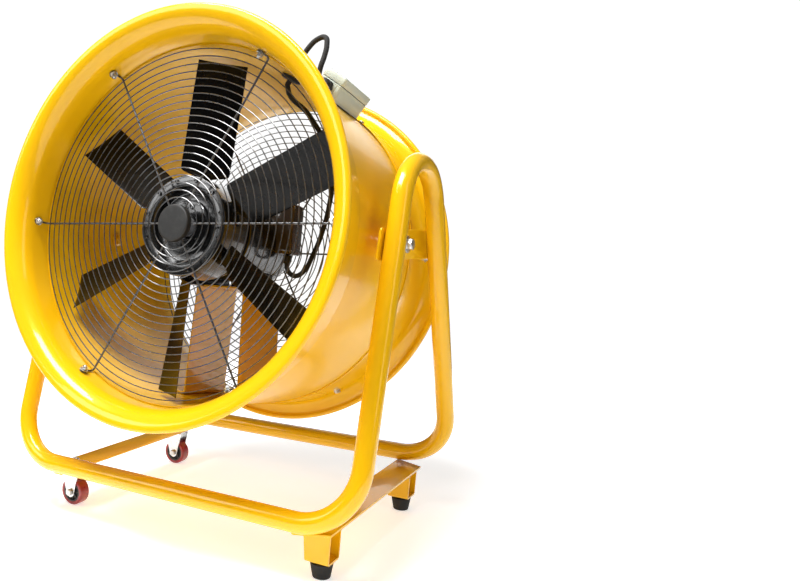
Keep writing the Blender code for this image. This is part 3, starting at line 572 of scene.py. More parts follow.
def zinc_plate(name, tone=(0.66, 0.67, 0.68), rough=(0.22, 0.42)):
    """Bright zinc plate: cloudy spangle, a trace of yellow and dull spots."""
    f = Finish(name, Metallic=1.0, IOR=1.5)
    cloud = f.span(f.cells(190.0), 0.0, 0.8, 0.0, 1.0)
    base = f.blend(cloud, tone, shade(tone, 0.84))
    base = f.blend(f.span(f.noise(60.0, 4.0), 0.50, 0.80, 0.0, 0.35), base, (0.62, 0.58, 0.46))
    dull = f.span(f.noise(120.0, 5.0, 0.7), 0.3, 0.75, rough[0], rough[1])
    return f.use(base, dull, f.bump(f.noise(900.0, 2.0), 0.00003, 0.5))


def turned_steel(name):
    """Plain machined steel with turning lines and a little oil."""
    f, tone = Finish(name, Metallic=1.0), (0.36, 0.36, 0.37)
    lines = f.noise(40.0, 3.0, 0.5, where=f.stretched((1.0, 30.0, 1.0)))
    base = f.blend(f.span(lines, 0.3, 0.7, 0.0, 1.0), shade(tone, 0.8), shade(tone, 1.15))
    return f.use(base, f.span(f.noise(80.0), 0.3, 0.7, 0.28, 0.5), f.bump(lines, 0.00005, 0.5))


def moulded(name, tone, gloss=(0.34, 0.48), grain=650.0, depth=0.00005, dusty=0.12):
    """Moulded plastic or rubber: fine even grain, slight tone drift and dust."""
    f = Finish(name, IOR=1.5)
    base = f.blend(f.span(f.noise(12.0, 3.0), 0.3, 0.7, 0.0, 1.0), shade(tone, 0.92),
                   shade(tone, 1.06))
    dust = f.span(f.noise(75.0, 6.0, 0.7), 0.5, 0.8, 0.0, dusty)
    base = f.blend(dust, base, (0.24, 0.23, 0.21))
    rough = f.span(f.noise(50.0, 3.0), 0.3, 0.7, gloss[0], gloss[1])
    return f.use(base, rough, f.bump(f.noise(grain, 2.0), depth, 0.6))


def polyurethane(name, tone):
    """Cast red tread: glossy, slightly cloudy, with rolled-in dirt."""
    f = Finish(name, IOR=1.52, Coat_Weight=0.35, Coat_Roughness=0.15)
    base = f.blend(f.span(f.noise(60.0, 3.0), 0.3, 0.7, 0.0, 1.0), shade(tone, 0.75),
                   shade(tone, 1.2))
    dirt = f.span(f.noise(190.0, 6.0, 0.75), 0.50, 0.72, 0.0, 0.38)
    base = f.blend(dirt, base, (0.060, 0.040, 0.034))
    rough = f.span(f.noise(130.0, 4.0), 0.3, 0.7, 0.26, 0.46)
    return f.use(base, rough, f.bump(f.noise(500.0, 3.0), 0.00008, 0.6))


def brushed_plate(name):
    """A thin blank aluminium plate, brushed along its length."""
    f = Finish(name, Metallic=0.85)
    grain = f.noise(60.0, 4.0, 0.6, where=f.stretched((1.0, 30.0, 30.0), (0.0, 0.9, 0.0)))
    base = f.blend(f.span(grain, 0.3, 0.7, 0.0, 1.0), (0.60, 0.61, 0.62), (0.80, 0.80, 0.80))
    return f.use(base, f.span(grain, 0.3, 0.7, 0.28, 0.42), f.bump(grain, 0.00002, 0.5))


FINISHES = {
    "yellow_powder_coat": lambda name, s: powder_coat(name, s.paint),
    "duct_powder_coat": lambda name, s: powder_coat(name, s.paint, 0.12, 1.36),
    "guard_wire_coat": lambda name, s: coated_wire(name, s.wire),
    "impeller_gloss": lambda name, s: gloss_black(name, s.blade, 0.05, True, 0.16),
    "hub_gloss": lambda name, s: gloss_black(name, s.blade, 1.0, False, 0.6, 0.13),
    "motor_gloss": lambda name, s: gloss_black(name, s.motor, 0.85, False),
    # the motor box's brown tone is a painted reflection of the yellow duct in its gloss black paint
    "motor_box_gloss": lambda name, s: gloss_black(name, (0.055, 0.034, 0.012), 0.85, False),
    "disc_satin": lambda name, s: moulded(name, (0.010, 0.010, 0.0095), (0.50, 0.65), 300.0,
                                          0.00004, 0.08),
    "bright_zinc": lambda name, s: zinc_plate(name),
    "fork_zinc": lambda name, s: zinc_plate(name, (0.74, 0.75, 0.76), (0.16, 0.32)),
    "machined_steel": lambda name, s: turned_steel(name),
    "black_rubber": lambda name, s: moulded(name, (0.020, 0.020, 0.021), (0.52, 0.72), 420.0,
                                            0.00010, 0.10),
    "black_nylon": lambda name, s: moulded(name, (0.022, 0.022, 0.023), (0.30, 0.45)),
    "cable_jacket": lambda name, s: moulded(name, (0.017, 0.017, 0.018), (0.34, 0.50), 260.0,
                                            0.00006, 0.06),
    "red_polyurethane": lambda name, s: polyurethane(name, s.tread),
    "wheel_core_plastic": lambda name, s: moulded(name, (0.035, 0.034, 0.035), (0.36, 0.55), 500.0),
    "box_plastic": lambda name, s: moulded(name, s.box, (0.30, 0.42), 900.0, 0.00003, 0.05),
    "blank_plate": lambda name, s: brushed_plate(name),
}


def finish(name):
    found = bpy.data.materials.get(name)
    return found or FINISHES[name](name, settings().finish)


# ---- duct, bells and guards ------------------------------------------------------------------
def bell_line(d, flare, rim):
    """Section of one bell as (radius, distance from the tilt axis), round the sheet once."""
    inner = d.inside + d.sheet + 0.0003
    start, lip = rim - flare, d.rim - d.bead
    rise = lip - inner
    line = [(inner, rim - d.bell), (inner, start - 0.030)]
    for i in range(19):
        a = math.radians(5.0 * i)
        line.append((inner + rise * (1.0 - math.cos(a)), start + flare * math.sin(a)))
    line += arc(lip, rim - d.bead, d.bead, 72, -180, 14)
    for i in range(16):
        a = math.radians(75.0 - 5.0 * i)
        line.append((lip - (rise - d.sheet) * math.cos(a), start + (flare - d.sheet) * math.sin(a)))
    return line + [(inner + d.sheet, start - 0.030), (inner + d.sheet, rim - d.bell)]


def along_duct(side):
    """Local +Z to the front (-1) or the rear (+1) of the duct, local +X kept."""
    return turn_about('X', -QUARTER * side)


class BLOWER_OT_duct(bpy.types.Operator):
    """Roll the duct shell"""
    bl_idname = "blower.duct"
    bl_label = "Duct"

    def execute(self, context):
        d = settings().duct
        bm = bmesh.new()
        outer = d.inside + d.sheet
        turned(bm, [(d.inside, -d.rear), (d.inside, 0.0), (d.inside, d.front),
                    (outer, d.front), (outer, 0.0), (outer, -d.rear)], along_duct(-1), 144, True)
        make_piece("duct_shell", bm, "duct_powder_coat", "drum", ["drum_shell"])
        return {'FINISHED'}


class BLOWER_OT_bells(bpy.types.Operator):
    """Spin the front and rear bells with their rolled rims"""
    bl_idname = "blower.bells"
    bl_label = "Bells"

    def execute(self, context):
        d = settings().duct
        for end, side, flare, rim in (("front", -1, d.flare_front, d.rim_front),
                                      ("rear", 1, d.flare_rear, d.rim_rear)):
            bm = bmesh.new()
            turned(bm, bell_line(d, flare, rim), along_duct(side), 144, True)
            make_piece(end + "_bell_spun", bm, "yellow_powder_coat", "drum", [end + "_bell"])
        return {'FINISHED'}


def guard_wires(bm, g, plane, bolt, side):
    """Round wires laid on six spokes, each spoke bent to an eye at its bolt."""
    front = at(0, plane + side * (g.wire + 0.0004), 0) @ turn_about('X', QUARTER)
    for k in range(1, g.rings + 1):
        wire_ring(bm, front, g.disc + g.pitch * k, g.wire, 96)
    duct = settings().duct
    reach, turn = duct.inside, 0.0060
    before = set(bm.verts)
    lane = plane - side * (g.spoke - 0.0006)
    spoke = Bar(bm, Vector((g.disc - 0.004, lane, 0)), X, g.spoke, 10)
    spoke.straight(reach - turn - g.disc + 0.004, 3)
    spoke.bend(Vector((reach - turn, lane + side * turn, 0)), Z, side * QUARTER, 6)
    spoke.straight(abs(bolt - spoke.at.y) - g.eye).close()
    eye = at(reach, bolt, 0) @ turn_about('Y', QUARTER)
    wire_ring(bm, eye, g.eye, g.spoke, 18, 8)
    copies_round(bm, fresh(bm, before), Y, BOLT_COUNT)


class BLOWER_OT_guards(bpy.types.Operator):
    """Weld up the front and rear wire guards and their centre discs"""
    bl_idname = "blower.guards"
    bl_label = "Guards"

    def execute(self, context):
        g = settings().guard
        for end, side, plane, bolt in (("front", -1, -g.front, -g.bolt_front),
                                       ("rear", 1, g.rear, g.bolt_rear)):
            bm = bmesh.new()
            guard_wires(bm, g, plane, bolt, side)
            make_piece(end + "_guard_wires", bm, "guard_wire_coat", "drum", [end + "_guard"])
            bm = bmesh.new()
            line = [(0, 0.0098), (g.disc - 0.005, 0.0098)]
            line += arc(g.disc - 0.0035, 0.0065, 0.0033, 75, 0, 5)
            line += [(g.disc, -0.0015), (g.disc - 0.0015, -0.0015), (g.disc - 0.0015, 0.0050),
                     (0, 0.0080)]
            turned(bm, line, at(0, plane, 0) @ along_duct(side), 64)
            make_piece(end + "_guard_disc", bm, "disc_satin", "drum")
        return {'FINISHED'}


class BLOWER_OT_guard_bolts(bpy.types.Operator):
    """Fit the six bolts, washers and nuts of each guard"""
    bl_idname = "blower.guard_bolts"
    bl_label = "Guard bolts"

    def execute(self, context):
        g, d = settings().guard, settings().duct
        outside = d.inside + 2.0 * d.sheet + 0.0005
        for end, y in (("front", -g.bolt_front), ("rear", g.bolt_rear)):
            bm = bmesh.new()
            outward = at(0, y, 0) @ turn_about('Y', QUARTER)
            hex_bolt(bm, outward @ at(0, 0, outside), 0.0058, 0.0036, 0.0078)
            inward = at(0, y, 0) @ turn_about('Y', -QUARTER)
            hex_bolt(bm, inward @ at(0, 0, -(d.inside - 0.0022)), 0.0055, 0.0045, 0.0074)
            turned(bm, [(0, 0.2922), (0.0022, 0.2922), (0.0027, 0.2928), (0.0027, outside),
                        (0, outside)],
                   outward, 12)
            copies_round(bm, list(bm.verts), Y, BOLT_COUNT)
            make_piece(end + "_guard_bolt_set", bm, "bright_zinc", "drum",
                       ["%s_guard_bolt_%d" % (end, i + 1) for i in range(BOLT_COUNT)])
        return {'FINISHED'}


# ---- impeller --------------------------------------------------------------------------------
HUB_BORE = 0.0123
HUB_FACE = 0.1780       # front of the clamp ring, from the tilt axis
HUB_BOSS = 0.1680       # front of the boss
HUB_BACK = 0.1040
HUB_GAP = 0.0002        # half the gap between the hub halves
FULL_BLADE = 0.1150     # pitch and twist run from here to the tip


class BLOWER_OT_hub(bpy.types.Operator):
    """Turn the two hub halves with the clamp ring screws, recess and boss"""
    bl_idname = "blower.hub"
    bl_label = "Hub"

    def execute(self, context):
        s = settings().impeller
        rim = s.hub
        bm = bmesh.new()
        line = [(HUB_BORE, s.plane + HUB_GAP), (rim, s.plane + HUB_GAP), (rim, HUB_FACE - 0.0030)]
        line += arc(rim - 0.0025, HUB_FACE - 0.0025, 0.0025, 0, 90, 5)
        line += arc(0.0690, HUB_FACE - 0.0020, 0.0020, 90, 165, 5)
        line += [(0.0600, 0.1655)] + arc(0.0560, 0.1640, 0.0040, -10, -90, 5)
        line += [(0.0470, 0.1600), (0.0460, 0.1612), (0.0450, 0.1668), (0.0435, HUB_BOSS),
                 (0.0240, HUB_BOSS),
                 (0.0225, 0.1668), (0.0215, 0.1640), (HUB_BORE, 0.1640)]
        turned(bm, line, along_duct(-1), 96, True)
        for count, radius, height, size in ((12, 0.0778, HUB_FACE, 0.0036),
                                            (6, 0.0345, HUB_BOSS, 0.0042)):
            for i in range(count):
                a = math.radians(15.0) + 2.0 * math.pi * i / count
                spot = Matrix.Translation(round_drum(a, radius, -height)) @ along_duct(-1)
                turned(bm, [(0, 0), (size * 1.35, 0), (size * 1.35, 0.0008), (0, 0.0008)], spot, 16)
                cap_screw(bm, spot, size, 0.0036)
        make_piece("hub_front_casting", bm, "hub_gloss", "impeller", ["hub_front"])
        bm = bmesh.new()
        line = [(HUB_BORE, -(s.plane - HUB_GAP)), (rim, -(s.plane - HUB_GAP)),
                (rim, -HUB_BACK - 0.0030)]
        line += arc(rim - 0.0025, -HUB_BACK - 0.0025, 0.0025, 0, 90, 5)
        line += [(0.0660, -HUB_BACK), (0.0500, -0.1170), (0.0480, -0.1180), (0.0300, -0.1180),
                 (0.0280, -0.1080),
                 (HUB_BORE, -0.1080)]
        turned(bm, line, along_duct(1), 96, True)
        make_piece("hub_rear_casting", bm, "hub_gloss", "impeller", ["hub_rear"])
        return {'FINISHED'}


def blade_ring(bm, s, radius, share, thin=1.0):
    """One section of a blade at a radius: share 1 is the round shank, 0 the full blade."""
    t = min(1.0, max(0.0, (radius - FULL_BLADE) / (s.tip - FULL_BLADE)))
    pitch = -(s.pitch + s.twist * (1.0 - t))
    ring = bmesh.ops.create_circle(bm, segments=36, radius=1.0)["verts"]
    for vert in ring:
        c, q = vert.co.x, vert.co.y
        along = 0.5 * c
        camber = 0.045 * (1.0 - (2.0 * along) ** 2) - 0.022
        depth = q * 0.024 * (1.0 - 0.55 * max(0.0, along)) * thin
        flat = Vector((along * s.chord, (camber + depth) * s.chord))
        shank = Vector((c * 0.0130, q * 0.0130))
        vert.co = Vector((*flat.lerp(shank, share), radius))
    bmesh.ops.rotate(bm, verts=ring, cent=(0, 0, 0), matrix=Matrix.Rotation(pitch, 3, 'Z'))
    return ring


class BLOWER_OT_blades(bpy.types.Operator):
    """Loft the six blades from round shank to square tip"""
    bl_idname = "blower.blades"
    bl_label = "Blades"

    def execute(self, context):
        s = settings().impeller
        root = ((0.0560, 1.0), (0.0880, 1.0), (0.0898, 0.90), (0.0914, 0.68), (0.0930, 0.42),
                (0.0948, 0.20), (0.0970, 0.06), (0.1000, 0.01))
        full = (0.1040, FULL_BLADE, 0.1450, 0.1800, 0.2150, 0.2500, 0.2800, s.tip - 0.0007)
        stations = list(root) + [(radius, 0.0) for radius in full] + [(s.tip, 0.0, 0.72)]
        for i in range(BOLT_COUNT):
            bm = bmesh.new()
            rings = [blade_ring(bm, s, *station) for station in stations]
            for a, b in zip(rings, rings[1:]):
                bmesh.ops.bridge_loops(bm, edges=edges_among(a) + edges_among(b))
            for ring in (rings[0], rings[-1]):
                bmesh.ops.edgeloop_fill(bm, edges=edges_among(ring))
            angle = s.start + math.pi / 3 * i
            out = round_drum(angle, 1.0, 0.0)
            across = Vector((-math.sin(angle), 0.0, math.cos(angle)))
            place = framed(across, Y, out, (0, -s.plane, 0))
            make_piece("impeller_blade_%d" % (i + 1), bm, "impeller_gloss", "impeller",
                       ["blade_%d" % (i + 1)], place=DRUM @ place, sharp=50.0)
        return {'FINISHED'}


# ---- motor -----------------------------------------------------------------------------------
class BLOWER_OT_motor(bpy.types.Operator):
    """Build the motor: rolled frame with feet, two end bells with tie bolts"""
    bl_idname = "blower.motor"
    bl_label = "Motor"

    def execute(self, context):
        bm = bmesh.new()
        line = [(0.0705, -0.0750), (0.0765, -0.0750), (0.0780, -0.0735), (0.0780, -0.0700),
                (0.0770, -0.0690),
                (0.0770, 0.0490), (0.0780, 0.0500), (0.0780, 0.0535), (0.0765, 0.0550),
                (0.0705, 0.0550)]
        turned(bm, line, along_duct(1), 96, True)
        for x in (-0.0490, 0.0490):
            slab(bm, (0.0260, 0.1180, 0.0080), at(x, -0.0100, -0.0910), 0.004, 0.0012)
            slab(bm, (0.0120, 0.1180, 0.0300), at(x * 0.98, -0.0100, -0.0870))
        make_piece("motor_frame_shell", bm, "motor_gloss", "drum", ["motor_frame"])
        bm = bmesh.new()
        for x in (-0.0550, 0.0550):
            for y in (-0.0380, 0.0280):
                hex_bolt(bm, at(x, y, -0.0832), 0.0050, 0.0036, 0.0068)
        make_piece("motor_foot_bolts", bm, "bright_zinc", "drum")
        self.bells()
        return {'FINISHED'}

    def bells(self):
        bm = bmesh.new()
        line = [(0.0126, 0.0753), (0.0780, 0.0753)] + arc(0.0740, 0.0810, 0.0040, -10, 60, 5)
        line += [(0.0560, 0.0880), (0.0400, 0.0900), (0.0370, 0.0925), (0.0340, 0.0975),
                 (0.0320, 0.0980),
                 (0.0200, 0.0980), (0.0190, 0.0960), (0.0126, 0.0960)]
        turned(bm, line, along_duct(-1), 96, True)
        make_piece("motor_front_end_bell", bm, "motor_gloss", "drum", ["motor_front_bell"])
        bm = bmesh.new()
        line = [(0.0126, 0.0553), (0.0780, 0.0553)] + arc(0.0700, 0.0700, 0.0080, 0, 55, 6)
        line += [(0.0680, 0.0880)] + arc(0.0560, 0.0920, 0.0090, 30, 80, 5)
        line += [(0.0400, 0.1018), (0.0180, 0.1010), (0, 0.1005), (0, 0.0880), (0.0126, 0.0880)]
        turned(bm, line, along_duct(1), 96, True)
        for ring in (0.0200, 0.0290, 0.0380):
            wire_ring(bm, at(0, 0.1012, 0) @ along_duct(1), ring, 0.0009, 48)
        make_piece("motor_rear_end_bell", bm, "motor_gloss", "drum", ["motor_rear_bell"])
        bm = bmesh.new()
        for side, y, radius in ((-1, -0.0845, 0.0690), (1, 0.0790, 0.0700)):
            for i in range(4):
                a = math.radians(45.0 + 90.0 * i)
                spot = Matrix.Translation(round_drum(a, radius, y)) @ along_duct(side)
                hex_bolt(bm, spot, 0.0046, 0.0034, 0.0060)
        make_piece("motor_tie_bolts", bm, "bright_zinc", "drum")


class BLOWER_OT_motor_box(bpy.types.Operator):
    """Build the terminal box on the motor's flank with its lid and lid screws"""
    bl_idname = "blower.motor_box"
    bl_label = "Motor terminal box"

    def execute(self, context):
        bm = bmesh.new()
        flank = turn_about('Y', QUARTER)
        middle = Vector((0.0, 0.0315, 0.0265))
        slab(bm, (0.0900, 0.0410, 0.0480), Matrix.Translation(middle + X * 0.0540) @ flank, 0.0090,
             0.0010)
        slab(bm, (0.0925, 0.0430, 0.0052), Matrix.Translation(middle + X * 0.1023) @ flank, 0.0100,
             0.0020)
        # the housing's brown tone is a painted reflection of the yellow duct on gloss black paint
        make_piece("motor_terminal_housing", bm, "motor_box_gloss", "drum", ["motor_terminal_box"])
        bm = bmesh.new()
        for y in (0.0155, 0.0475):
            for z in (-0.0140, 0.0670):
                cap_screw(bm, at(0.1052, y, z) @ flank, 0.0026, 0.0024)
        make_piece("motor_lid_screws", bm, "bright_zinc", "drum")
        return {'FINISHED'}


class BLOWER_OT_cradle(bpy.types.Operator):
    """Fold the cradle plates that carry the motor"""
    bl_idname = "blower.cradle"
    bl_label = "Motor cradle"

    def execute(self, context):
        top, reach, sheet = -0.0915, 0.3020, 0.0030
        a, b = math.radians(-78.3), math.radians(-75.0)
        bend = arc(0.0450, top - 0.0045, 0.0045, 90, 15, 5)
        half = bend + [((reach - 0.001) * math.cos(a) - 0.004, (reach - 0.006) * math.sin(a))]
        half += [((reach - 0.0005) * math.cos(a), (reach - 0.0012) * math.sin(a)),
                 (reach * math.cos(b), reach * math.sin(b))]
        line = [(-x, z) for x, z in reversed(half)] + half
        crosswise = at(0, 0.02225, 0) @ turn_about('Z', -QUARTER)
        bm = bmesh.new()
        folded(bm, line, lambda z: 0.0675, sheet, crosswise)
        make_piece("motor_cradle_sheet", bm, "yellow_powder_coat", "drum", ["motor_cradle"],
                   sharp=30.0)
        return {'FINISHED'}


# ---- terminal box, glands and cable ----------------------------------------------------------
BOX_ANGLE = math.radians(55.3)
BOX_Y = 0.0072
BOX_SIZE = (0.0510, 0.1087)
BOX_FOOT = 0.3056
EXIT_ANGLE = math.radians(64.0)
EXIT_Y = -0.0850
CABLE = 0.0045


def on_box(across, along, height):
    """Place on the drum's terminal box: local X across, Y along the duct, Z outwards."""
    out = round_drum(BOX_ANGLE, 1.0, 0.0)
    side = Vector((math.sin(BOX_ANGLE), 0.0, -math.cos(BOX_ANGLE)))
    return framed(side, Y, out, out * (BOX_FOOT + height) + side * across + Y * (BOX_Y + along))


class BLOWER_OT_terminal_box(bpy.types.Operator):
    """Mould the terminal box on the drum: base, lid, seal, screws and a blank plate"""
    bl_idname = "blower.terminal_box"
    bl_label = "Drum terminal box"

    def execute(self, context):
        w, l = BOX_SIZE
        bm = bmesh.new()
        slab(bm, (w - 0.0012, l - 0.0012, 0.0272), on_box(0, 0, 0), 0.0058, 0.0006)
        slab(bm, (w - 0.0004, l - 0.0004, 0.0030), on_box(0, 0, 0.0248), 0.0060, 0.0005)
        for along in (-1, 1):
            slab(bm, (0.0300, 0.0016, 0.0200), on_box(0, along * (l / 2 - 0.0008), 0.0045), 0.0,
                 0.0004)
        make_piece("terminal_base_moulding", bm, "box_plastic", "drum", ["terminal_box_base"])
        bm = bmesh.new()
        slab(bm, (w, l, 0.0148), on_box(0, 0, 0.0285), 0.0062, 0.0020)
        make_piece("terminal_lid_moulding", bm, "box_plastic", "drum", ["terminal_box_lid"])
        bm = bmesh.new()
        slab(bm, (w - 0.0026, l - 0.0026, 0.0014), on_box(0, 0, 0.0275), 0.0050)
        slab(bm, (w + 0.0016, l + 0.0016, 0.0012), on_box(0, 0, -0.0006), 0.0060)
        make_piece("terminal_box_seals", bm, "black_rubber", "drum")
        bm = bmesh.new()
        for x in (-1, 1):
            for y in (-1, 1):
                spot = on_box(x * (w / 2 - 0.0068), y * (l / 2 - 0.0068), 0.0428)
                cap_screw(bm, spot, 0.0029, 0.0010)
        make_piece("terminal_lid_screws", bm, "bright_zinc", "drum")
        bm = bmesh.new()
        slab(bm, (0.0330, 0.0660, 0.0004), on_box(0, 0, 0.0432), 0.0020)
        make_piece("terminal_blank_plate", bm, "blank_plate", "drum")
        return {'FINISHED'}


def gland(bm, place, size, bored):
    """A compression gland: hex body, clamping cap with fingers, rounded nose."""
    bore = CABLE + 0.0003 if bored else 0.0
    prism(bm, size, size * 0.62, 6, place, 0.0005, math.radians(30.0))
    start = size * 0.60
    line = [(0, start), (size * 0.86, start), (size * 0.88, start + 0.0006),
            (size * 0.88, size * 1.30)]
    line += arc(size * 0.70, size * 1.32, size * 0.18, 0, 60, 4)
    line += [(size * 0.62, size * 1.72), (bore, size * 1.80), (bore, start)]
    turned(bm, line, place, 36)
    before = set(bm.verts)
    slab(bm, (0.0010, 0.0022, size * 0.62), place @ at(size * 0.88, 0, size * 0.66), 0.0, 0.0003)
    axis = (place.to_3x3() @ Z).normalized()
    copies_round(bm, fresh(bm, before), axis, 10, place.translation)


class BLOWER_OT_glands(bpy.types.Operator):
    """Fit the three cable glands and the grommet hump on the drum"""
    bl_idname = "blower.glands"
    bl_label = "Glands and grommet"

    def execute(self, context):
        half = BOX_SIZE[1] / 2
        front = on_box(0, -half, 0.0150) @ turn_about('X', QUARTER)
        rear = on_box(0, half, 0.0150) @ turn_about('X', -QUARTER)
        under = at(0.0920, 0.0320, -0.0195) @ turn_about('X', math.pi)
        for node, place, size, bored in (("box_cable_gland", front, 0.0120, True),
                                         ("supply_gland", rear, 0.0120, False),
                                         ("motor_cable_gland", under, 0.0090, True)):
            bm = bmesh.new()
            gland(bm, place, size, bored)
            make_piece(node + "_nut", bm, "black_nylon", "drum", [node])
        bm = bmesh.new()
        wall = settings().duct.inside + settings().duct.sheet
        bore = CABLE + 0.0003
        line = [(bore, -0.0080), (0.0165, -0.0080)] + arc(0.0165, -0.0060, 0.0018, -90, 0, 4)
        line += [(0.0180, -0.0022), (0.0118, -0.0020), (0.0118, 0.0003), (0.0195, 0.0003)]
        line += arc(0.0172, 0.0028, 0.0028, 0, 70, 5) + arc(0.0170, 0.0150, 0.0095, -95, -165, 6)
        line += arc(0.0062, 0.0142, 0.0016, 0, 90, 4) + [(bore, 0.0160)]
        out = round_drum(EXIT_ANGLE, 1.0, 0.0)
        turned(bm, line, aimed(out * wall + Y * EXIT_Y, out), 40, True)
        make_piece("drum_cable_grommet", bm, "black_rubber", "drum", ["cable_grommet"])
        return {'FINISHED'}


def cable_points():
    """The cable's route in the drum frame: motor gland, grommet, loop, box gland."""
    mouth = BOX_Y - BOX_SIZE[1] / 2
    height = BOX_FOOT + 0.0150
    inside = [Vector(p) for p in (
        (0.0920, 0.0320, -0.0212), (0.0920, 0.0320, -0.0330), (0.0950, 0.0330, -0.0480),
        (0.1080, 0.0360, -0.0570), (0.1230, 0.0400, -0.0490), (0.1370, 0.0450, -0.0180),
        (0.1500, 0.0490, 0.0250), (0.1590, 0.0500, 0.0750), (0.1640, 0.0430, 0.1250),
        (0.1600, 0.0170, 0.1760), (0.1430, -0.0290, 0.2220))]
    wall = [round_drum(EXIT_ANGLE, r, EXIT_Y) for r in (0.2860, 0.3000, 0.3160, 0.3300)]
    loop = [round_drum(a, r, EXIT_Y - back) for r, a, back in (
        (0.3560, EXIT_ANGLE - 0.010, 0.001), (0.3760, EXIT_ANGLE - 0.036, 0.002),
        (0.3830, EXIT_ANGLE - 0.072, 0.004), (0.3740, BOX_ANGLE + 0.052, 0.006),
        (0.3560, BOX_ANGLE + 0.026, 0.008), (0.3380, BOX_ANGLE + 0.008, 0.009))]
    end = [round_drum(BOX_ANGLE, height + 0.0045, mouth - 0.0400)]
    end += [round_drum(BOX_ANGLE, height, mouth + y) for y in (-0.0290, -0.0200, -0.0100, 0.0040)]
    return inside + wall + loop + end


class BLOWER_OT_cable(bpy.types.Operator):
    """Run the cable from the motor through the grommet to the terminal box"""
    bl_idname = "blower.cable"
    bl_label = "Cable"

    def execute(self, context):
        curve = bpy.data.curves.new("motor_cable_run", 'CURVE')
        curve.dimensions = '3D'
        curve.resolution_u = 6
        curve.bevel_depth = CABLE
        curve.bevel_resolution = 6
        curve.use_fill_caps = True
        spline = curve.splines.new('BEZIER')
        points = [DRUM @ p for p in cable_points()]
        spline.bezier_points.add(len(points) - 1)
        for knot, point in zip(spline.bezier_points, points):
            knot.co = point
            knot.handle_left_type = knot.handle_right_type = 'AUTO'
        curve.materials.append(finish("cable_jacket"))
        piece = add_object("motor_cable_run", curve)
        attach(piece, "drum")
        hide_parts("motor_cable")
        return {'FINISHED'}


# ---- stand -----------------------------------------------------------------------------------
class BLOWER_OT_stand_tube(bpy.types.Operator):
    """Bend the stand's tube: two hairpins joined by legs and floor rails"""
    bl_idname = "blower.stand_tube"
    bl_label = "Stand tube"

    def execute(self, context):
        s = settings().stand
        lean = math.atan(s.slope)
        top = s.top - s.tube
        hairpin = (s.leg_y + s.slope * (PIVOT.z - top)) / (math.sqrt(1.0 + s.slope ** 2) - s.slope)
        bm = bmesh.new()
        bar = Bar(bm, Vector((s.half_width, 0.0, top)), -Y, s.tube, 28)
        bar.bend(Vector((s.half_width, 0.0, top - hairpin)), X, QUARTER - lean, 14)
        up = Vector((0.0, math.sin(lean), math.cos(lean)))
        corner = Vector((s.half_width, -s.rail_y, s.rail_z))
        bar.straight((corner + up * s.bend - bar.at).length, 4)
        bar.bend(corner + (up - X) * s.bend, up.cross(X), QUARTER, 16)
        bar.straight(bar.at.x, 3)
        bmesh.ops.mirror(bm, geom=bm.verts[:] + bm.edges[:] + bm.faces[:], merge_dist=SEAM,
                         axis='X')
        bmesh.ops.mirror(bm, geom=bm.verts[:] + bm.edges[:] + bm.faces[:], merge_dist=SEAM,
                         axis='Y')
        bmesh.ops.remove_doubles(bm, verts=bm.verts, dist=SEAM)
        make_piece("stand_frame", bm, "yellow_powder_coat", "stand",
                   ["front_frame_tube", "rear_frame_tube"])
        return {'FINISHED'}


class BLOWER_OT_pivots(bpy.types.Operator):
    """Cut the pivot plates and fit the pivot bolts, washers and spacers"""
    bl_idname = "blower.pivots"
    bl_label = "Pivots"

    def execute(self, context):
        s, d = settings().stand, settings().duct
        inner = s.half_width - s.tube - 0.0043
        for side, label in ((1.0, "right"), (-1.0, "left")):
            bm = bmesh.new()
            low = s.leg_y + s.slope * 0.025 + s.tube + 0.003
            high = s.leg_y - s.slope * 0.025 + s.tube + 0.003
            corners = [(side * inner, y, PIVOT.z + z) for y, z in (
                (-low, -0.025), (low, -0.025), (high, 0.025), (-high, 0.025))]
            plate(bm, corners, (side * 0.0040, 0, 0))
            soften(bm, [e for e in bm.edges
                        if abs((e.verts[0].co - e.verts[1].co).normalized().x) > 0.9], 0.004, 4)
            soften(bm, sharp_edges(bm.verts, 60.0), 0.0006)
            make_piece(label + "_pivot_plate_cut", bm, "yellow_powder_coat", "stand",
                       [label + "_pivot_plate"])
            self.bolt(side, label, inner, d)
        return {'FINISHED'}

    def bolt(self, side, label, plate, d):
        bm = bmesh.new()
        wall = d.inside + d.sheet
        out = turn_about('Y', side * QUARTER)
        turned(bm, [(0, 0.2990), (0.0060, 0.2990), (0.0060, 0.3420), (0, 0.3420)], out, 24)
        turned(bm, [(0.0060, wall + 0.0004), (0.0195, wall + 0.0004), (0.0200, wall + 0.0010),
                    (0.0190, wall + 0.0080), (0.0180, plate - 0.0008), (0.0175, plate - 0.0003),
                    (0.0060, plate - 0.0003)], out, 40, True)
        hex_bolt(bm, out @ at(0, 0, plate + 0.0043), 0.0100, 0.0085, 0.0145)
        make_piece(label + "_pivot_bolt_set", bm, "bright_zinc", "drum", [label + "_pivot_bolt"])
        bm = bmesh.new()
        nut = turn_about('Y', -side * QUARTER) @ at(0, 0, -(d.inside - 0.0008))
        hex_bolt(bm, nut, 0.0105, 0.0078, 0.0140)
        make_piece(label + "_pivot_inner_nut", bm, "yellow_powder_coat", "drum")


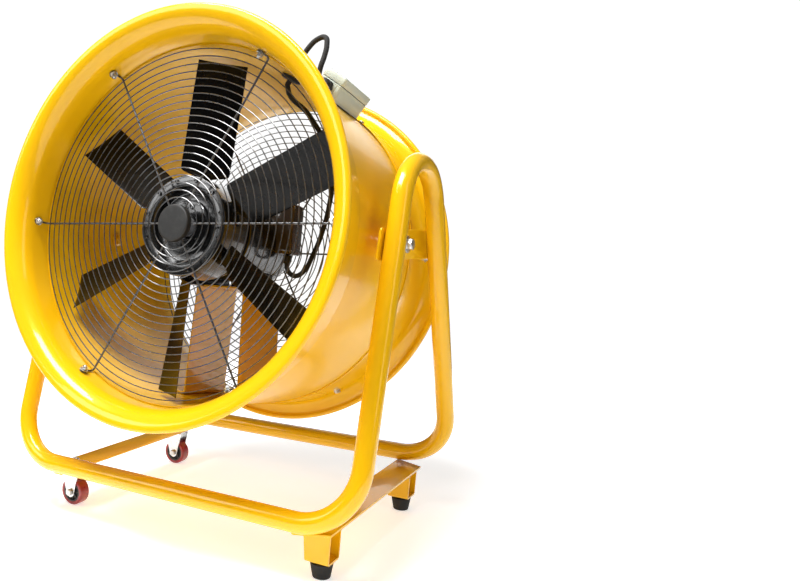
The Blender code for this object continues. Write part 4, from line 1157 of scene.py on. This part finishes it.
class BLOWER_OT_base(bpy.types.Operator):
    """Weld on the cross plates and foot brackets and fit the rubber feet"""
    bl_idname = "blower.base"
    bl_label = "Cross plates and feet"

    def execute(self, context):
        s = settings().stand
        under = s.rail_z - s.tube - 0.0003
        for name, x in (("wheel_cross_plate", -s.wheel_x), ("foot_cross_plate", s.foot_x)):
            bm = bmesh.new()
            half, trim = 0.0280, abs(x) + 0.0280 - (s.half_width - s.bend)
            outer = math.copysign(1.0, x)
            outline = [(-half, -s.rail_y), (half - trim, -s.rail_y), (half, 0.022 - s.rail_y),
                       (half, s.rail_y - 0.022), (half - trim, s.rail_y), (-half, s.rail_y)]
            plate(bm, [(x + outer * a, b, under - 0.0040) for a, b in outline], (0, 0, 0.0040))
            soften(bm, sharp_edges(bm.verts, 60.0), 0.0007)
            make_piece(name + "_bar", bm, "yellow_powder_coat", "stand", [name])
        top, floor = under - 0.0043, 0.0248
        for end, y in (("front", -s.foot_y), ("rear", s.foot_y)):
            bm = bmesh.new()
            r = 0.0050
            half = arc(0.0205 - r, floor + 0.0015 + r, r, -90, 0, 5) + [(0.0205, top)]
            line = [(-a, z) for a, z in reversed(half)] + half
            folded(bm, line, lambda z: 0.0200 + 0.0030 * (z - floor) / (top - floor), 0.0030,
                   at(s.foot_x, y, 0))
            make_piece(end + "_foot_channel", bm, "yellow_powder_coat", "stand",
                       [end + "_foot_bracket"], sharp=30.0)
            bm = bmesh.new()
            foot = 0.0245
            outline = [(0, 0.0006), (0.0080, 0.0006), (0.0088, 0)] + arc(0.0132, 0.0012, 0.0012,
                                                                         -90, -10, 4)
            outline += [(0.0180, foot - 0.0040)] + arc(0.0170, foot - 0.0016, 0.0014, 0, 80,
                                                       4) + [(0, foot)]
            turned(bm, outline, at(s.foot_x, y, 0), 48)
            make_piece(end + "_tapered_foot", bm, "black_rubber", "stand", [end + "_rubber_foot"])
        bm = bmesh.new()
        for y in (-s.foot_y, s.foot_y):
            hex_bolt(bm, at(s.foot_x, y, floor + 0.0032), 0.0062, 0.0046, 0.0090)
        make_piece("foot_bolts", bm, "bright_zinc", "stand")
        return {'FINISHED'}


class BLOWER_OT_casters(bpy.types.Operator):
    """Build the caster forks, axles, wheel centres and treads"""
    bl_idname = "blower.casters"
    bl_label = "Casters"

    def execute(self, context):
        s = settings().stand
        axle = s.wheel
        top = s.rail_z - s.tube - 0.0006 - 0.0040
        for end, y in (("front", -s.wheel_y), ("rear", s.wheel_y)):
            self.fork(end, Vector((-s.wheel_x, y, 0)), top, axle)
            self.wheel(end, Vector((-s.wheel_x, y, axle)), s.wheel)
        return {'FINISHED'}

    def fork(self, end, spot, top, axle):
        bm = bmesh.new()
        gap = 0.01475
        r = 0.0050
        steps = [axle - 0.0100 * math.cos(math.radians(a)) for a in (0, 20, 40, 60, 80)]
        cheek = [(gap, z) for z in steps] + [(gap, axle + 0.012), (gap, top - 0.012)]
        half = cheek + arc(gap - r, top - 0.00125 - r, r, 0, 90, 6)
        line = half + [(-a, z) for a, z in reversed(half)]

        def width(z):
            if z < axle:
                return max(0.0015, math.sqrt(max(0.0, 0.0100 ** 2 - (axle - z) ** 2)))
            return 0.0100 + 0.0110 * min(1.0, (z - axle) / (top - axle - 0.006))

        folded(bm, line, width, 0.0025, Matrix.Translation(spot))
        crown = Matrix.Translation(spot + Z * (top - 0.0002))
        turned(bm, [(0, -0.0040), (0.0070, -0.0040), (0.0075, -0.0034), (0.0075, 0), (0.0042, 0),
                    (0.0042, 0.0146), (0.0036, 0.0152), (0, 0.0152)], crown, 24)
        hex_bolt(bm, crown @ at(0, 0, 0.0050), 0.0078, 0.0062, 0.0092)
        make_piece(end + "_caster_fork_pressed", bm, "fork_zinc", "stand",
                   [end + "_caster_fork"], sharp=30.0)
        bm = bmesh.new()
        hub = Matrix.Translation(spot + Z * axle)
        reach = gap + 0.0014
        hex_bolt(bm, hub @ at(0, -reach, 0) @ along_duct(-1), 0.0070, 0.0040)
        hex_bolt(bm, hub @ at(0, reach, 0) @ along_duct(1), 0.0068, 0.0048)
        turned(bm, [(0, -reach), (0.0040, -reach), (0.0040, reach + 0.0050), (0, reach + 0.0055)],
               hub @ along_duct(1), 20)
        make_piece(end + "_axle_set", bm, "bright_zinc", "stand", [end + "_axle_bolt"])

    def wheel(self, end, centre, radius):
        place = Matrix.Translation(centre) @ along_duct(1)
        bm = bmesh.new()
        half = [(0.0044, 0.0118), (0.0080, 0.0118), (0.0086, 0.0112), (0.0092, 0.0072),
                (0.0100, 0.0065),
                (0.0155, 0.0065), (0.0162, 0.0070), (0.0168, 0.0104), (0.0174, 0.0110),
                (0.0197, 0.0110)]
        turned(bm, half + [(r, -h) for r, h in reversed(half)], place, 48, True)
        before = set(bm.verts)
        for side in (-1, 1):
            rib = Matrix.Translation(centre + Vector((0.0125, side * 0.0075, 0))) @ along_duct(side)
            slab(bm, (0.0080, 0.0016, 0.0024), rib @ at(0, 0, -0.0012), 0.0, 0.0003)
        copies_round(bm, fresh(bm, before), Y, 8, centre)
        make_piece(end + "_wheel_centre", bm, "wheel_core_plastic", end + "_wheel",
                   [end + "_wheel_core"])
        bm = bmesh.new()
        edge = arc(radius - 0.0030, 0.0085, 0.0030, 0, 90, 6)
        half = [(0.0196, 0.0108), (0.0206, 0.0115),
                (radius - 0.0040, 0.0115)] + list(reversed(edge))
        turned(bm, half + [(r, -h) for r, h in reversed(half)], place, 64, True)
        make_piece(end + "_wheel_tyre", bm, "red_polyurethane", end + "_wheel",
                   [end + "_wheel_tread"])


class BLOWER_OT_inner(bpy.types.Operator):
    """Finish the shaft and the stator core, which keep their frame shapes"""
    bl_idname = "blower.inner"
    bl_label = "Shaft and core"

    def execute(self, context):
        for node in ("rotor_shaft", "stator_core"):
            refinish(node, finish("machined_steel"))
        return {'FINISHED'}


# ---- studio ----------------------------------------------------------------------------------
def soft_light(name, position, size, power):
    """A rectangular soft light that faces the middle of the blower."""
    lamp = bpy.data.lights.new(name, 'AREA')
    lamp.shape = 'RECTANGLE'
    lamp.size, lamp.size_y = size
    lamp.energy = power
    position = Vector(position)
    add_object(name, lamp).matrix_world = aimed(position, position - Vector((0.0, 0.0, 0.45)))


def stage_camera(s):
    target = Vector((0.0, PIVOT.y, s.target))
    level = math.cos(s.elevation)
    back = Vector((math.sin(s.azimuth) * level, -math.cos(s.azimuth) * level,
                   math.sin(s.elevation)))
    right = Vector((math.cos(s.azimuth), math.sin(s.azimuth), 0.0))
    up = back.cross(right)
    side = right * math.cos(s.roll) + up * math.sin(s.roll)
    head = up * math.cos(s.roll) - right * math.sin(s.roll)
    data = bpy.data.cameras.new("studio_camera")
    data.lens, data.sensor_width = s.lens, 36.0
    data.shift_x, data.shift_y = 0.204, 0.0225
    data.clip_start, data.clip_end = 0.05, 60.0
    camera = add_object("studio_camera", data)
    camera.matrix_world = framed(side, head, back, target + back * s.distance)
    bpy.context.scene.camera = camera


def stage_world():
    """White to the eye, and a softer sky with a dim band for light and reflections."""
    world = bpy.data.worlds.new("studio_surround")
    bpy.context.scene.world = world
    world.use_nodes = True
    tree = world.node_tree
    tree.nodes.clear()
    add, link = tree.nodes.new, tree.links.new
    output = add('ShaderNodeOutputWorld')
    mix = add('ShaderNodeMixShader')
    path = add('ShaderNodeLightPath')
    seen = add('ShaderNodeBackground')
    seen.inputs["Color"].default_value = (1, 1, 1, 1)
    seen.inputs["Strength"].default_value = 1.05
    fill = add('ShaderNodeBackground')
    fill.inputs["Strength"].default_value = 0.24
    place = add('ShaderNodeTexCoord')
    split = add('ShaderNodeSeparateXYZ')
    ramp = add('ShaderNodeValToRGB')
    stops = ramp.color_ramp.elements
    stops[0].position, stops[0].color = 0.0, (0.55, 0.55, 0.55, 1)
    stops[1].position, stops[1].color = 1.0, (1.0, 1.0, 1.0, 1)
    for position, level in ((0.48, 0.62), (0.54, 0.16), (0.64, 0.20), (0.74, 0.85)):
        stop = stops.new(position)
        stop.color = (level, level, level, 1)
    rescale = add('ShaderNodeMapRange')
    rescale.inputs["From Min"].default_value = -1.0
    link(place.outputs["Generated"], split.inputs["Vector"])
    link(split.outputs["Z"], rescale.inputs["Value"])
    link(rescale.outputs["Result"], ramp.inputs["Fac"])
    link(ramp.outputs["Color"], fill.inputs["Color"])
    link(path.outputs["Is Camera Ray"], mix.inputs["Fac"])
    link(fill.outputs["Background"], mix.inputs[1])
    link(seen.outputs["Background"], mix.inputs[2])
    link(mix.outputs["Shader"], output.inputs["Surface"])


def stage_floor():
    bm = bmesh.new()
    bmesh.ops.create_circle(bm, cap_ends=True, segments=64, radius=1.9)
    mesh = bpy.data.meshes.new("studio_floor")
    bm.to_mesh(mesh)
    bm.free()
    f = Finish("pale_floor", Roughness=0.80, IOR=1.2, Emission_Color=(1, 1, 1, 1),
               Emission_Strength=0.58)
    tone = f.blend(f.span(f.noise(2.0, 3.0), 0.3, 0.7, 0.0, 1.0),
                   (0.90, 0.90, 0.90), (0.93, 0.93, 0.93))
    mesh.materials.append(f.use(tone))
    floor = add_object("studio_floor", mesh)
    floor.location.z = -0.0002


class BLOWER_OT_stage(bpy.types.Operator):
    """Set up the pale floor, the soft studio light and the camera"""
    bl_idname = "blower.stage"
    bl_label = "Stage"

    def execute(self, context):
        s = settings().stage
        context.scene.view_settings.view_transform = 'Standard'
        context.scene.view_settings.look = 'None'
        stage_floor()
        stage_world()
        stage_camera(s)
        soft_light("overhead_softbox", (-0.3, -0.9, 2.7), (1.6, 1.0), s.key * 7.6)
        soft_light("left_softbox", (-2.0, -2.45, 2.15), (1.0, 1.5), s.key * 1.35)
        soft_light("right_softbox", (2.6, -0.7, 1.5), (0.7, 2.2), s.key * 0.5)
        soft_light("rear_softbox", (-0.6, 2.6, 1.7), (2.0, 1.2), s.key * 0.6)
        return {'FINISHED'}


# ---- add-on ----------------------------------------------------------------------------------
OPERATORS = (BLOWER_OT_stage, BLOWER_OT_duct, BLOWER_OT_bells, BLOWER_OT_guards,
             BLOWER_OT_guard_bolts,
             BLOWER_OT_hub, BLOWER_OT_blades, BLOWER_OT_motor, BLOWER_OT_motor_box,
             BLOWER_OT_cradle,
             BLOWER_OT_terminal_box, BLOWER_OT_glands, BLOWER_OT_cable, BLOWER_OT_stand_tube,
             BLOWER_OT_pivots, BLOWER_OT_base, BLOWER_OT_casters, BLOWER_OT_inner)
GROUPS = ("duct", "guard", "impeller", "stand", "finish", "stage")


class BLOWER_PT_panel(bpy.types.Panel):
    """The blower's operators and sizes"""
    bl_idname = "BLOWER_PT_panel"
    bl_label = "Axial Blower"
    bl_space_type = 'VIEW_3D'
    bl_region_type = 'UI'
    bl_category = "Blower"

    def draw(self, context):
        layout = self.layout
        for operator in OPERATORS:
            layout.operator(operator.bl_idname)
        for group in GROUPS:
            box = layout.box()
            box.label(text=group.capitalize())
            values = getattr(context.scene.blower, group)
            for key in values.__annotations__:
                box.prop(values, key)


CLASSES = (DuctSettings, GuardSettings, ImpellerSettings, StandSettings, FinishSettings,
           StageSettings,
           BlowerSettings, *OPERATORS, BLOWER_PT_panel)


def register():
    for cls in CLASSES:
        bpy.utils.register_class(cls)
    bpy.types.Scene.blower = PointerProperty(type=BlowerSettings, name="Blower",
                                             description="Sizes and colours of the blower")


def unregister():
    del bpy.types.Scene.blower
    for cls in reversed(CLASSES):
        bpy.utils.unregister_class(cls)


def main():
    register()
    for operator in OPERATORS:
        group, name = operator.bl_idname.split(".")
        if getattr(getattr(bpy.ops, group), name)() != {'FINISHED'}:
            raise RuntimeError("%s did not finish" % operator.bl_label)


if __name__ == "__main__":
    main()
